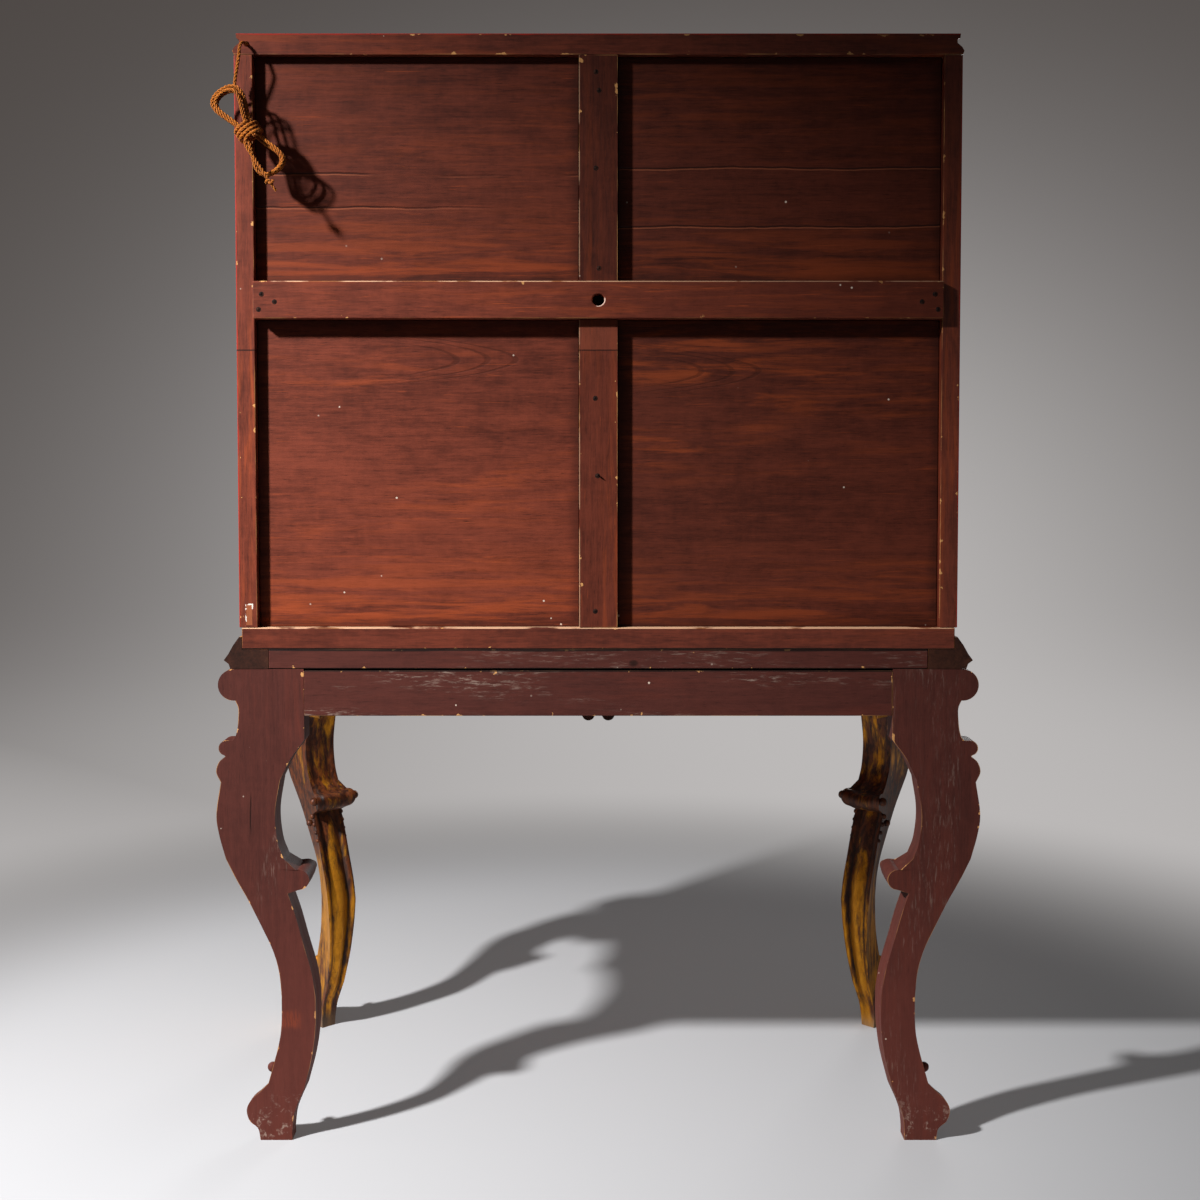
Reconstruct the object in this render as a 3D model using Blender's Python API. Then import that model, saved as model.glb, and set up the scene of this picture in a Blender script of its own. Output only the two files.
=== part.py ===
"""Cabinet with two doors on a carved stand, in metres, +Z up.

The front faces -Y and the back +Y. Left and right are as seen from the front, so right is +X.
The origin is on the floor, under the middle of the whole.
"""

import math

import bmesh
import bpy
import numpy as np
from mathutils import Vector

# Fits
GAP = 0.0003  # between pieces that meet
SLIDE_GAP = 0.0003  # round a bolt in its channel
TURN_GAP = 0.0002  # round a pin in its knuckle

# Cabinet box
CASE_WIDTH = 0.956
CASE_DEPTH = 0.466  # from the back edges of the sides to the front of the doors
SIDE_HEIGHT = 0.754
SIDE_T = 0.024
BOTTOM_T = 0.0285
BOTTOM_INSET = 0.003  # the bottom board stands in from the sides and the door fronts
TOP_T = 0.027
# The moulded edge of the top: how far out, and the share of the top's thickness up
TOP_PROFILE = (
    (0.0, 0.0),
    (0.002, 0.17),
    (-0.001, 0.36),
    (-0.007, 0.55),
    (-0.0075, 0.7),
    (-0.0035, 0.8),
    (-0.003, 1.0),
)

# Back
PANEL_T = 0.008
PANEL_RECESS = 0.014
MUNTIN_W = 0.051
MID_RAIL_H = 0.049
MID_RAIL_RISE = 0.409  # from the bottom board up to the rail
MID_RAIL_PROUD = 0.012
RAIL_HOLE_D = 0.016

# Shelf
SHELF_T = 0.018
SHELF_SETBACK = 0.058  # from the door fronts to the shelf's front edge
SHELF_RISE = 0.010  # the shelf's top above the lower edge of the middle rail
BEARER_W = 0.018
BEARER_H = 0.018

# Doors
DOOR_T = 0.022
DOOR_PLAY = 0.0015  # round each door

# Hinges
HINGE_H = 0.070
HINGE_RISE = 0.110  # from a door's end to the middle of the nearest hinge
KNUCKLE_R = 0.0045
HINGE_PIN_R = 0.0020
LEAF_T = 0.0020
CASE_LEAF_W = 0.038
DOOR_LEAF_W = 0.018
FINIAL_H = 0.007
FINIAL_R = 0.0034
FINIAL_NECK_R = 0.0024
FINIAL_TIP_R = 0.0012

# Lock and key
LOCK_W = 0.068
LOCK_H = 0.060
LOCK_T = 0.014
LOCK_DROP = 0.060  # from the middle of the doors down to the middle of the lock
LOCK_BOLT_W = 0.010
LOCK_BOLT_T = 0.006
LOCK_BOLT_L = 0.055
LOCK_BOLT_RISE = 0.014  # above the middle of the lock
KEEPER_W = 0.030
KEEPER_WALL = 0.005
KEY_SETBACK = 0.036  # from the door's meeting edge to the key's axis
KEY_DROP = 0.010  # below the middle of the lock
KEY_SHANK_R = 0.0030
KEYHOLE_R = 0.0040
KEY_BIT_REACH = 0.0085
KEY_BIT_W = 0.0030
KEY_BIT_L = 0.0050
KEY_STANDS_OUT = 0.030
KEY_BOW_W = 0.026
KEY_BOW_H = 0.020
KEY_BOW_T = 0.004
PLATE_W = 0.050
PLATE_H = 0.072
PLATE_T = 0.0020

# Slide bolts on the left door
ROD_W = 0.008
ROD_T = 0.006
ROD_L = 0.110
ROD_SETBACK = 0.045  # from the meeting edge to the rod's middle
ROD_TRAVEL = 0.012
ROD_KNOB_R = 0.0035
ROD_KNOB_L = 0.006
GUIDE_W = 0.020
GUIDE_H = 0.050
GUIDE_T = 0.0095
GUIDE_DROP = 0.018  # from the door's end to the guide

# Lamp under the top
LAMP_DEPTH = 0.230  # from the back
LAMP_BASE_R = 0.024
LAMP_BASE_H = 0.024
BULB_R = 0.021
BULB_H = 0.062

# Stand
LEG_HEIGHT = 0.640
LEG_REACH = 0.118  # from a leg's inner face out to its knee
FRONT_LEG_T = 0.054
FRONT_FOOT_SHARE = 0.45  # of the leg's thickness, at its foot
REAR_LEG_T = 0.038  # the rear legs are cut flat at the back
REAR_FOOT_SHARE = 0.7
REAR_LEG_INSET = 0.085  # from the cabinet's side to the leg's inner face
FRONT_LEG_INSET = 0.056  # the same from the front corner, both ways
LEG_CANT_DEG = 45  # the front legs point out through the corners
FRONT_LEG_LIFT = 0.014  # how much higher the carving sits on the front legs
LIP_BALL_R = 0.0068
LIP_FLARE = 1.4  # the lip's width, as a share of the leg's
LIP_RISE = 0.006  # of the lip's edges above its middle
HOLLOW_DEPTH = 0.006  # of the channel down the leg's inner side
APRON_H = 0.061
APRON_T = 0.026
APRON_DROP = 0.002  # below the legs' tops
PENDANT_DROP = 0.0795  # below the front apron, at its middle
LOBE_APART = 0.032  # between the middles of the drop's two lobes
EAR_DROP = 0.072  # below the front apron, at the legs
SIDE_FRONT_DROP = 0.070  # below the side aprons, at the front legs
SIDE_REAR_DROP = 0.040  # below the side aprons, at the rear legs
SIDE_MIDDLE_DROP = 0.022  # below the side aprons, at their middles
SEAT_H = 0.026  # the frame that the cabinet stands on
LIP_H = 0.0165  # the lip round the cabinet's foot
LIP_T = 0.0035
SEAT_W = 0.038
MOULDING_OUT = 0.0215  # the moulding's nose, out from the cabinet's side
STRIP_DEPTH = 0.045
BLOCK_W = 0.032

# Cord
CORD_D = 0.0046
CORD_BORE_D = 0.0070
CORD_IN = 0.017  # the bore, in from the cabinet's side
CORD_BORE_SLANT = 0.014  # how far the bore runs sideways
CORD_BORE_DEPTH = 0.050
CORD_START_DEPTH = 0.012  # the cord starts this deep in the bore

# Hank: a tied bundle of loops that hangs on the cord
HANK_DROP = 0.1196  # its middle, below the bore
HANK_ASIDE = 0.008  # its middle, in from the bore
HANK_OFF = 0.0165  # its nearest loop, off the back
HANK_TILT_DEG = 33.7
HANK_TURNS = 4.12
HANK_HALF_L = 0.058
HANK_SPREAD = 0.036
HANK_STEP = 0.0054
HANK_WAIST = 0.0030
WRAP_TURNS = 3
LOOP_POINTS = 24
TAIL_L = 0.046
KNOT_R = 0.0062

# Derived levels, from the floor up
SEAT_Z = LEG_HEIGHT + GAP
CASE_Z = SEAT_Z + SEAT_H + GAP
SIDE_Z = CASE_Z + BOTTOM_T + GAP
TOP_Z = SIDE_Z + SIDE_HEIGHT + GAP
MID_RAIL_Z = SIDE_Z + MID_RAIL_RISE
MID_RAIL_TOP = MID_RAIL_Z + MID_RAIL_H
SHELF_TOP = MID_RAIL_Z + SHELF_RISE
DOOR_Z = SIDE_Z + DOOR_PLAY
DOOR_TOP = TOP_Z - DOOR_PLAY
DOOR_MID = (DOOR_Z + DOOR_TOP) / 2
HALF = CASE_WIDTH / 2
INNER = HALF - SIDE_T  # a side's inner face
PANEL_BACK = PANEL_RECESS + PANEL_T  # depth of a panel's inner face
DOOR_BACK = CASE_DEPTH - DOOR_T  # depth of the doors' inner faces
SIDE_FRONT = DOOR_BACK - GAP
BORE_X = HALF - CORD_IN
BORE_Z = TOP_Z + TOP_T / 2
LOCK_Z = DOOR_MID - LOCK_DROP

SIDES = {"left": -1, "right": 1}


def smooth(points, parts):
    """Points on a Catmull-Rom curve through the given points, the last one left out."""
    p = [np.array(q, float) for q in points]
    p = [2 * p[0] - p[1], *p, 2 * p[-1] - p[-2]]
    made = []
    for a, b, c, d in zip(p, p[1:], p[2:], p[3:]):
        for i in range(parts):
            t = i / parts
            square = (2 * a - 5 * b + 4 * c - d) * t**2
            cube = (3 * b - a - 3 * c + d) * t**3
            made.append((2 * b + (c - a) * t + square + cube) / 2)
    return made


def arc(centre, radius, start_deg, end_deg, parts):
    """Points on an arc from start to end, both included."""
    angles = np.radians(np.linspace(start_deg, end_deg, parts + 1))
    return [np.array(centre) + radius * np.array((math.cos(a), math.sin(a))) for a in angles]


def on_leg(u, z, lift):
    """A place on the leg's drawing, at the leg's real size, with its carving lifted clear of both ends."""
    drawn_reach, drawn_height = 0.118, 0.640
    share = z / drawn_height
    bump = min(1, share / 0.3, (1 - share) / 0.3)
    return u * LEG_REACH / drawn_reach, LEG_HEIGHT * share + lift * bump * bump * (3 - 2 * bump)


def resample(points, parts):
    """Even steps along a smooth run of points."""
    p = np.array([*smooth(points, 4), points[-1]])
    run = np.concatenate(((0,), np.cumsum(np.linalg.norm(np.diff(p, axis=0), axis=1))))
    steps = np.linspace(0, run[-1], parts + 1)
    return np.stack([np.interp(steps, run, p[:, i]) for i in (0, 1)], axis=1)


def leg_stations(lift, foot):
    """Cuts across the leg from its top down, each with its inner middle, inner edge, outer edge and widths.

    Each stretch has its inner run, its outer run and its number of cuts. Then come the shares of the
    leg's thickness at its inner and outer edges, and how far the edges of the lip rise and those of the
    hollow stand in, all at the stretch's lower end.
    """
    lip = (0.0085, 0.3555)
    lip_r = 0.0135
    volute = arc((0.0935, 0.6185), 0.0210, 88, -95, 9)
    throat = ((0.0876, 0.588), (0.0876, 0.5746), (0.0895, 0.557), (0.0945, 0.5445))
    knob = arc((0.1045, 0.5335), 0.0100, 92, -78, 5)
    knee = ((0.106, 0.5215), (0.114, 0.515), (0.118, 0.5016), (0.112, 0.4876))
    hollow_in = ((0.033, 0.4906), (0.040, 0.446), (0.037, 0.407), (0.029, 0.384))
    hollow_out = ((0.112, 0.4876), (0.118, 0.445), (0.1145, 0.417), (0.1055, 0.384))
    lip_top = [(0.029, 0.384), (0.020, 0.3755), *arc(lip, lip_r, 75, 180, 3)]
    lip_under = [*arc(lip, lip_r, 180, 270, 3), (0.024, 0.337)]
    shaft_in = ((0.024, 0.337), (0.014, 0.307), (0.0027, 0.265), (-0.007, 0.2296), (-0.012, 0.197))
    shaft_out = (
        (0.086, 0.346),
        (0.0754, 0.327),
        (0.0576, 0.291),
        (0.043, 0.259),
        (0.035, 0.229),
        (0.032, 0.197),
    )
    ankle_in = ((-0.012, 0.197), (-0.012, 0.159), (-0.007, 0.116), (0.004, 0.071))
    ankle_out = ((0.032, 0.197), (0.0325, 0.159), (0.037, 0.129), (0.051, 0.078))
    foot_in = ((0.004, 0.071), (0.017, 0.039), (0.0205, 0.016), (0.0205, 0.0))
    foot_out = (
        (0.051, 0.078),
        (0.063, 0.066),
        (0.074, 0.056),
        (0.081, 0.042),
        (0.077, 0.026),
        (0.066, 0.016),
        (0.063, 0.0),
    )
    stretches = (
        (((0, 0.640), (0, 0.598)), volute, 9, (1, 1, 0, 0)),
        (((0, 0.598), (0, 0.545)), (volute[-1], *throat, knob[0]), 5, (1, 0.95, 0, 0)),
        (((0, 0.545), (0.019, 0.5186), hollow_in[0]), (*knob, *knee), 10, (1, 0.9, 0, 0)),
        (hollow_in, hollow_out, 5, (1, 0.45, 0, 0.3)),
        (lip_top, (hollow_out[-1], (0.0945, 0.3615)), 5, (LIP_FLARE, 0.35, 1, 0.3)),
        (lip_under, ((0.0945, 0.3615), shaft_out[0]), 4, (1, 0.3, 0, 0.6)),
        (shaft_in, shaft_out, 5, (1, 0.15, 0, 1)),
        (ankle_in, ankle_out, 5, (foot + 0.15, 0.2, 0, 0.7)),
        (foot_in, foot_out, 8, (foot, foot, 0, 0)),
    )
    stations = []
    before = np.array((1.0, 1.0, 0.0, 0.0))
    for inner, outer, parts, after in stretches:
        pairs = list(zip(resample(inner, parts), resample(outer, parts)))
        for i, (a, b) in enumerate(pairs):
            wide_in, wide_out, rise, stand = before + (np.array(after) - before) * i / parts
            middle = on_leg(*a, lift)
            edge = (middle[0] - stand * HOLLOW_DEPTH, middle[1] + rise * LIP_RISE)
            if i or not stations:
                stations.append((middle, edge, on_leg(*b, lift), wide_in, wide_out))
        before = np.array(after)
    return stations


FRONT_LEG_DEPTH = CASE_DEPTH - FRONT_LEG_INSET
CANT = math.radians(LEG_CANT_DEG)
outer_run = [station[2::2] for station in leg_stations(FRONT_LEG_LIFT, FRONT_FOOT_SHARE)]
KNEE = max(b[0] * math.sin(CANT) + w * FRONT_LEG_T / 2 * math.cos(CANT) for b, w in outer_run)
FRONT_REACH = FRONT_LEG_DEPTH + KNEE
BACK_Y = (FRONT_REACH - MID_RAIL_PROUD) / 2  # puts the origin under the middle


def clear_scene():
    for obj in list(bpy.data.objects):
        bpy.data.objects.remove(obj, do_unlink=True)


def finish(name, colour, roughness, metallic=0.0, alpha=1.0):
    """A Principled material for one sub-part."""
    material = bpy.data.materials.new(name)
    material.use_nodes = True
    shader = material.node_tree.nodes["Principled BSDF"]
    shader.inputs["Base Color"].default_value = (*colour, 1)
    shader.inputs["Roughness"].default_value = roughness
    shader.inputs["Metallic"].default_value = metallic
    shader.inputs["Alpha"].default_value = alpha
    return material


def red_brown_paint(name):
    return finish(name, (0.115, 0.040, 0.029), 0.55)


def red_lacquer(name):
    return finish(name, (0.330, 0.022, 0.014), 0.25)


def gilding(name):
    return finish(name, (0.480, 0.180, 0.020), 0.35, 0.6)


def brass(name):
    return finish(name, (0.560, 0.370, 0.130), 0.30, 1.0)


def silk(name):
    return finish(name, (0.400, 0.150, 0.020), 0.70)


def frosted_glass(name):
    return finish(name, (0.900, 0.880, 0.800), 0.10)


def depth(d):
    """The Y of a place that lies d in front of the back."""
    return BACK_Y - d


def pivot(name, place):
    """An empty on a joint's axis."""
    empty = bpy.data.objects.new(name, None)
    empty.location = place
    bpy.context.collection.objects.link(empty)
    return empty


def add(name, verts, faces, material=None, holder=None):
    """An object from points in the whole's own frame, under a joint's empty where it has one."""
    mesh = bpy.data.meshes.new(name)
    shift = Vector(holder.location) if holder else Vector()
    mesh.from_pydata([Vector(v) - shift for v in verts], [], faces)
    work = bmesh.new()
    work.from_mesh(mesh)
    bmesh.ops.recalc_face_normals(work, faces=work.faces)
    work.to_mesh(mesh)
    work.free()
    obj = bpy.data.objects.new(name, mesh)
    bpy.context.collection.objects.link(obj)
    obj.parent = holder
    if material:
        mesh.materials.append(material(name))
    return obj


def loft(name, rings, material=None, holder=None):
    """A solid through outlines that all have the same number of points."""
    n = len(rings[0])
    verts = [v for ring in rings for v in ring]
    faces = [tuple(range(n)), tuple(range(len(verts) - n, len(verts)))]
    for k in range(0, len(verts) - n, n):
        faces += [(k + i, k + (i + 1) % n, k + n + (i + 1) % n, k + n + i) for i in range(n)]
    return add(name, verts, faces, material, holder)


def box(name, x, d, z, material=None, holder=None):
    """A block: each of x, d and z is a pair, and d counts from the back to the front."""
    corners = ((x[0], d[0]), (x[1], d[0]), (x[1], d[1]), (x[0], d[1]))
    rings = [[(i, depth(j), k) for i, j in corners] for k in z]
    return loft(name, rings, material, holder)


def turned(name, profile, base, axis, material=None, holder=None, sides=24):
    """A turned solid: its profile is pairs of radius and distance along the axis, from end to end."""
    along = Vector(axis).normalized()
    across = along.orthogonal().normalized()
    other = along.cross(across)
    rings = []
    for r, h in profile:
        angles = [2 * math.pi * i / sides for i in range(sides)]
        centre = Vector(base) + along * h
        rings.append([centre + across * (r * math.cos(a)) + other * (r * math.sin(a)) for a in angles])
    obj = loft(name, rings, material, holder)
    obj.data.shade_smooth()
    obj.data.set_sharp_from_angle(angle=math.radians(40))
    return obj


def helper(obj):
    obj.hide_render = True
    obj.display_type = "WIRE"
    return obj


def boolean(obj, other, operation):
    modifier = obj.modifiers.new(other.name, "BOOLEAN")
    modifier.operation = operation
    modifier.object = helper(other)


def cut(obj, other):
    boolean(obj, other, "DIFFERENCE")


def join(obj, other):
    boolean(obj, other, "UNION")


def tube(name, points, radius, resolution, material):
    """A round cord along a list of points, with closed ends."""
    curve = bpy.data.curves.new(name, "CURVE")
    curve.dimensions = "3D"
    curve.bevel_depth = radius
    curve.bevel_resolution = resolution
    curve.use_fill_caps = True
    spline = curve.splines.new("POLY")
    spline.points.add(len(points) - 1)
    for point, place in zip(spline.points, points):
        point.co = (*place, 1)
    spline.use_smooth = True
    obj = bpy.data.objects.new(name, curve)
    bpy.context.collection.objects.link(obj)
    curve.materials.append(material(name))
    return obj


def ball(name, radius, centre):
    steps = np.radians(np.linspace(-80, 80, 7))
    profile = [(radius * math.cos(a), radius * math.sin(a)) for a in steps]
    return turned(name, profile, centre, (0, 0, 1), sides=10)


def leg(name, place, turn, flip, wide, foot, lift, sides, material):
    """A carved leg that runs out from place in the direction turn. It is cut flat where it has one side."""
    out = Vector((math.cos(turn), -math.sin(turn), 0))
    across = Vector((math.sin(turn), math.cos(turn), 0))

    def at(spot, v):
        p = Vector(place) + out * spot[0] + across * (v * wide) + Vector((0, 0, spot[1]))
        return (flip * p.x, p.y, p.z)

    rings = []
    for middle, edge, outer, wide_in, wide_out in leg_stations(lift, foot):
        if len(sides) == 2:
            inside = [at(edge, wide_in), at(middle, 0), at(edge, -wide_in)]
            rings.append([*inside, at(outer, -wide_out), at(outer, wide_out)])
        else:
            side = sides[0]
            rings.append([at(middle, 0), at(edge, side * wide_in), at(outer, side * wide_out), at(outer, 0)])
    body = loft(name, rings, material)
    for i, side in enumerate(sides):
        centre = at(on_leg(0.001, 0.3615, lift), side * (LIP_FLARE + 0.05))
        join(body, ball(f"{name}_lip_ball_{i}", LIP_BALL_R, centre))
    centre = at(on_leg(0.048, 0.097, lift), 0 if len(sides) == 2 else sides[0] * 0.25)
    join(body, ball(f"{name}_foot_ball", LIP_BALL_R, centre))


def legs():
    for side, flip in SIDES.items():
        rear = (HALF - REAR_LEG_INSET, depth(0), 0)
        leg(f"leg_rear_{side}", rear, 0, flip, REAR_LEG_T, REAR_FOOT_SHARE, 0, (-1,), red_brown_paint)
        front = (HALF - FRONT_LEG_INSET, depth(FRONT_LEG_DEPTH), 0)
        half = FRONT_LEG_T / 2
        leg(f"leg_front_{side}", front, CANT, flip, half, FRONT_FOOT_SHARE, FRONT_LEG_LIFT, (-1, 1), gilding)


def drop_line(half, drops, parts):
    """The lower edge of an apron, from -half to half: drops are shares of half and depths below."""
    return [(half * s, -q) for s, q in smooth(drops, parts)] + [(half * drops[-1][0], -drops[-1][1])]


def aprons():
    top = LEG_HEIGHT - APRON_DROP
    low = top - APRON_H
    rear_half = HALF - REAR_LEG_INSET - GAP
    box("apron_back", (-rear_half, rear_half), (0, APRON_T), (low, top), red_brown_paint)
    # The front legs' side faces run at the cant through these corners
    corner_x = HALF - FRONT_LEG_INSET + FRONT_LEG_T / 2 * math.sin(CANT)
    corner_d = FRONT_LEG_DEPTH - FRONT_LEG_T / 2 * math.cos(CANT)
    slope = math.tan(CANT)
    clear = GAP / math.cos(CANT)
    inner_x = corner_x + GAP
    side_drops = (
        (-1, SIDE_REAR_DROP),
        (-0.9, SIDE_REAR_DROP * 0.75),
        (-0.6, 0),
        (-0.12, SIDE_MIDDLE_DROP * 0.2),
        (0, SIDE_MIDDLE_DROP),
        (0.12, SIDE_MIDDLE_DROP * 0.2),
        (0.5, 0),
        (0.8, SIDE_FRONT_DROP * 0.48),
        (0.93, SIDE_FRONT_DROP * 0.9),
        (1, SIDE_FRONT_DROP),
    )
    for side, flip in SIDES.items():
        caps = []
        for x in (inner_x, inner_x + APRON_T):
            start = REAR_LEG_T + GAP
            end = corner_d + (x - corner_x) * slope - clear
            mid, half = (start + end) / 2, (end - start) / 2
            edge = drop_line(half, side_drops, 2)
            line = [(mid + s, low + q) for s, q in edge] + [(end, top), (start, top)]
            caps.append([(flip * x, depth(d), z) for d, z in line])
        loft(f"apron_{side}", caps, gilding)
    front_x = HALF - FRONT_LEG_INSET - FRONT_LEG_T / 2 * math.sin(CANT)
    front_d = FRONT_LEG_DEPTH + FRONT_LEG_T / 2 * math.cos(CANT)
    lobe_r = LOBE_APART / 3
    lobe = arc((LOBE_APART / 2, PENDANT_DROP - lobe_r), lobe_r, 165, 15, 5)
    half_edge = (
        (0.0, PENDANT_DROP - lobe_r * 1.2),
        *((x / front_x, q) for x, q in lobe),
        (0.09, PENDANT_DROP * 0.74),
        (0.13, PENDANT_DROP * 0.6),
        (0.19, PENDANT_DROP * 0.5),
        (0.25, PENDANT_DROP * 0.22),
        (0.36, PENDANT_DROP * 0.04),
        (0.55, 0),
        (0.74, EAR_DROP * 0.17),
        (0.86, EAR_DROP * 0.55),
        (0.95, EAR_DROP * 0.92),
        (1, EAR_DROP),
    )
    drops = [(-s, q) for s, q in reversed(half_edge[1:])] + list(half_edge)
    caps = []
    for d in (front_d + GAP, front_d + GAP + APRON_T):
        half = front_x + (d - front_d) / slope - GAP / math.sin(CANT)
        line = [(x, low + q) for x, q in drop_line(half, drops, 2)] + [(half, top), (-half, top)]
        caps.append([(x, depth(d), z) for x, z in line])
    loft("apron_front", caps, gilding)
    for side, flip in SIDES.items():
        ends = sorted((flip * rear_half, flip * (rear_half - BLOCK_W)))
        box(f"corner_block_{side}", ends, (APRON_T + GAP, APRON_T + BLOCK_W), (low, top), red_brown_paint)


def moulding_section():
    """The stand's moulding: out from the cabinet's side, and up."""
    nose = MOULDING_OUT
    lip = -BOTTOM_INSET + GAP
    return (
        (-SEAT_W, 0),
        (nose * 0.6, 0),
        (nose * 0.7, SEAT_H * 0.25),
        (nose, SEAT_H * 0.44),
        (nose * 0.72, SEAT_H * 0.75),
        (nose * 0.4, SEAT_H + LIP_H * 0.35),
        (lip + LIP_T, SEAT_H + LIP_H),
        (lip, SEAT_H + LIP_H),
        (lip, SEAT_H),
        (-SEAT_W, SEAT_H),
    )


def seat_frame():
    inner = HALF - SEAT_W - GAP
    strip_z = (SEAT_Z, SEAT_Z + SEAT_H)
    box("stand_back_strip", (-inner, inner), (0, STRIP_DEPTH), strip_z, red_brown_paint)
    mitre = GAP * math.sqrt(2) / 2
    for side, flip in SIDES.items():
        back = [(flip * (HALF + o), depth(0), SEAT_Z + h) for o, h in moulding_section()]
        front = [
            (flip * (HALF + o), depth(CASE_DEPTH + o - mitre), SEAT_Z + h) for o, h in moulding_section()
        ]
        loft(f"stand_moulding_{side}", (back, front), gilding)
    ends = [
        [(flip * (HALF + o - mitre), depth(CASE_DEPTH + o), SEAT_Z + h) for o, h in moulding_section()]
        for flip in SIDES.values()
    ]
    loft("stand_moulding_front", ends, gilding)


def bore_axis():
    """Where the cord's bore opens at the back, and the way that it runs inwards."""
    return Vector((BORE_X, depth(0), BORE_Z)), Vector((-CORD_BORE_SLANT, -CORD_BORE_DEPTH, 0)).normalized()


def case():
    foot = HALF - BOTTOM_INSET
    bottom = box(
        "case_bottom", (-foot, foot), (0, CASE_DEPTH - BOTTOM_INSET), (CASE_Z, CASE_Z + BOTTOM_T), red_lacquer
    )
    for side, flip in SIDES.items():
        ends = sorted((flip * INNER, flip * HALF))
        box(f"case_side_{side}", ends, (0, SIDE_FRONT), (SIDE_Z, SIDE_Z + SIDE_HEIGHT), red_lacquer)
    rings = []
    for out, share in TOP_PROFILE:
        x, front = HALF + out, CASE_DEPTH + out
        z = TOP_Z + share * TOP_T
        rings.append([(-x, depth(0), z), (x, depth(0), z), (x, depth(front), z), (-x, depth(front), z)])
    top = loft("case_top", rings, red_lacquer)
    mouth, inwards = bore_axis()
    length = math.hypot(CORD_BORE_SLANT, CORD_BORE_DEPTH)
    radius = CORD_BORE_D / 2
    slanted = turned("bore_slanted", ((radius, -0.01), (radius, length)), mouth, inwards, sides=12)
    cut(top, slanted)
    well = mouth + inwards * (length - CORD_BORE_D)
    down = turned("bore_down", ((radius, -TOP_T), (radius, 0.001)), well, (0, 0, 1), sides=12)
    cut(top, down)
    return bottom, top


def back():
    half_rail = INNER - GAP
    rail_d = (-MID_RAIL_PROUD, PANEL_BACK)
    rail = box("back_mid_rail", (-half_rail, half_rail), rail_d, (MID_RAIL_Z, MID_RAIL_TOP), red_brown_paint)
    hole_r = RAIL_HOLE_D / 2
    middle = (0, depth(0), (MID_RAIL_Z + MID_RAIL_TOP) / 2)
    reach = MID_RAIL_PROUD + PANEL_BACK
    cut(rail, turned("rail_hole", ((hole_r, -reach), (hole_r, reach)), middle, (0, 1, 0), sides=24))
    spans = {"upper": (MID_RAIL_TOP + GAP, TOP_Z - GAP), "lower": (SIDE_Z, MID_RAIL_Z - GAP)}
    half = MUNTIN_W / 2
    for level, z in spans.items():
        box(f"back_muntin_{level}", (-half, half), (0, PANEL_BACK), z, red_brown_paint)
        for side, flip in SIDES.items():
            ends = sorted((flip * (half + GAP), flip * (INNER - GAP)))
            box(f"back_panel_{level}_{side}", ends, (PANEL_RECESS, PANEL_BACK), z, red_brown_paint)


def shelf():
    front = CASE_DEPTH - SHELF_SETBACK
    low = SHELF_TOP - SHELF_T
    span = (-INNER + GAP, INNER - GAP)
    box("shelf", span, (PANEL_BACK + GAP, front), (low, SHELF_TOP), red_lacquer)
    for side, flip in SIDES.items():
        ends = sorted((flip * (INNER - GAP), flip * (INNER - GAP - BEARER_W)))
        bearer_z = (low - GAP - BEARER_H, low - GAP)
        box(f"shelf_bearer_{side}", ends, (PANEL_BACK + GAP, front), bearer_z, red_lacquer)


def leaf_outline(width):
    """A hinge leaf seen along its pin: along the leaf from the pin, and out from what it is fixed to."""
    start = math.degrees(math.asin((LEAF_T - KNUCKLE_R) / KNUCKLE_R))
    ring = arc((0, KNUCKLE_R), KNUCKLE_R, start, 270, 20)
    return [(width, 0), (width, LEAF_T), *ring]


def hinge(name, side, flip, z, holder):
    """One butt hinge: its case leaf carries the outer knuckles, its door leaf the middle one."""
    axis_x, axis_d = hinge_axis()
    face = axis_x - KNUCKLE_R
    ends = (z - HINGE_H / 2, z + HINGE_H / 2)
    third = HINGE_H / 3
    knuckles = {"case": ((-third / 2, third / 2),), "door": ((-HINGE_H, -third / 2), (third / 2, HINGE_H))}
    settings = {"case": (CASE_LEAF_W, -1, None), "door": (DOOR_LEAF_W, 1, holder)}
    for kind, (width, way, carrier) in settings.items():
        caps = [
            [(flip * (face + q), depth(axis_d + way * p), h) for p, q in leaf_outline(width)] for h in ends
        ]
        leaf = loft(f"{name}_{kind}_leaf", caps, brass, carrier)
        wide = KNUCKLE_R + LEAF_T
        for i, (low, high) in enumerate(knuckles[kind]):
            room = (axis_d - wide, axis_d + wide)
            x = sorted((flip * (axis_x - 2 * KNUCKLE_R), flip * (axis_x + 2 * KNUCKLE_R)))
            grown = (z + low - GAP / 2, z + high + GAP / 2)
            cut(leaf, box(f"{name}_{kind}_slot_{i}", x, room, grown))
        bore_r = HINGE_PIN_R + TURN_GAP
        base = (flip * axis_x, depth(axis_d), z)
        bore = turned(f"{name}_{kind}_bore", ((bore_r, -HINGE_H), (bore_r, HINGE_H)), base, (0, 0, 1))
        cut(leaf, bore)
    low = -HINGE_H / 2 - GAP
    knob = ((FINIAL_NECK_R, 0), (FINIAL_R, 0.3), (FINIAL_R, 0.6), (FINIAL_TIP_R, 1))
    profile = [(r, low - FINIAL_H * share) for r, share in reversed(knob)]
    profile += [(HINGE_PIN_R, low), (HINGE_PIN_R, -low)]
    profile += [(r, -low + FINIAL_H * share) for r, share in knob]
    turned(f"{name}_pin", profile, (flip * axis_x, depth(axis_d), z), (0, 0, 1), brass)


def hinge_axis():
    """The doors turn about the joint between door and side, just outside the side."""
    return HALF + GAP + KNUCKLE_R, (SIDE_FRONT + DOOR_BACK) / 2


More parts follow.
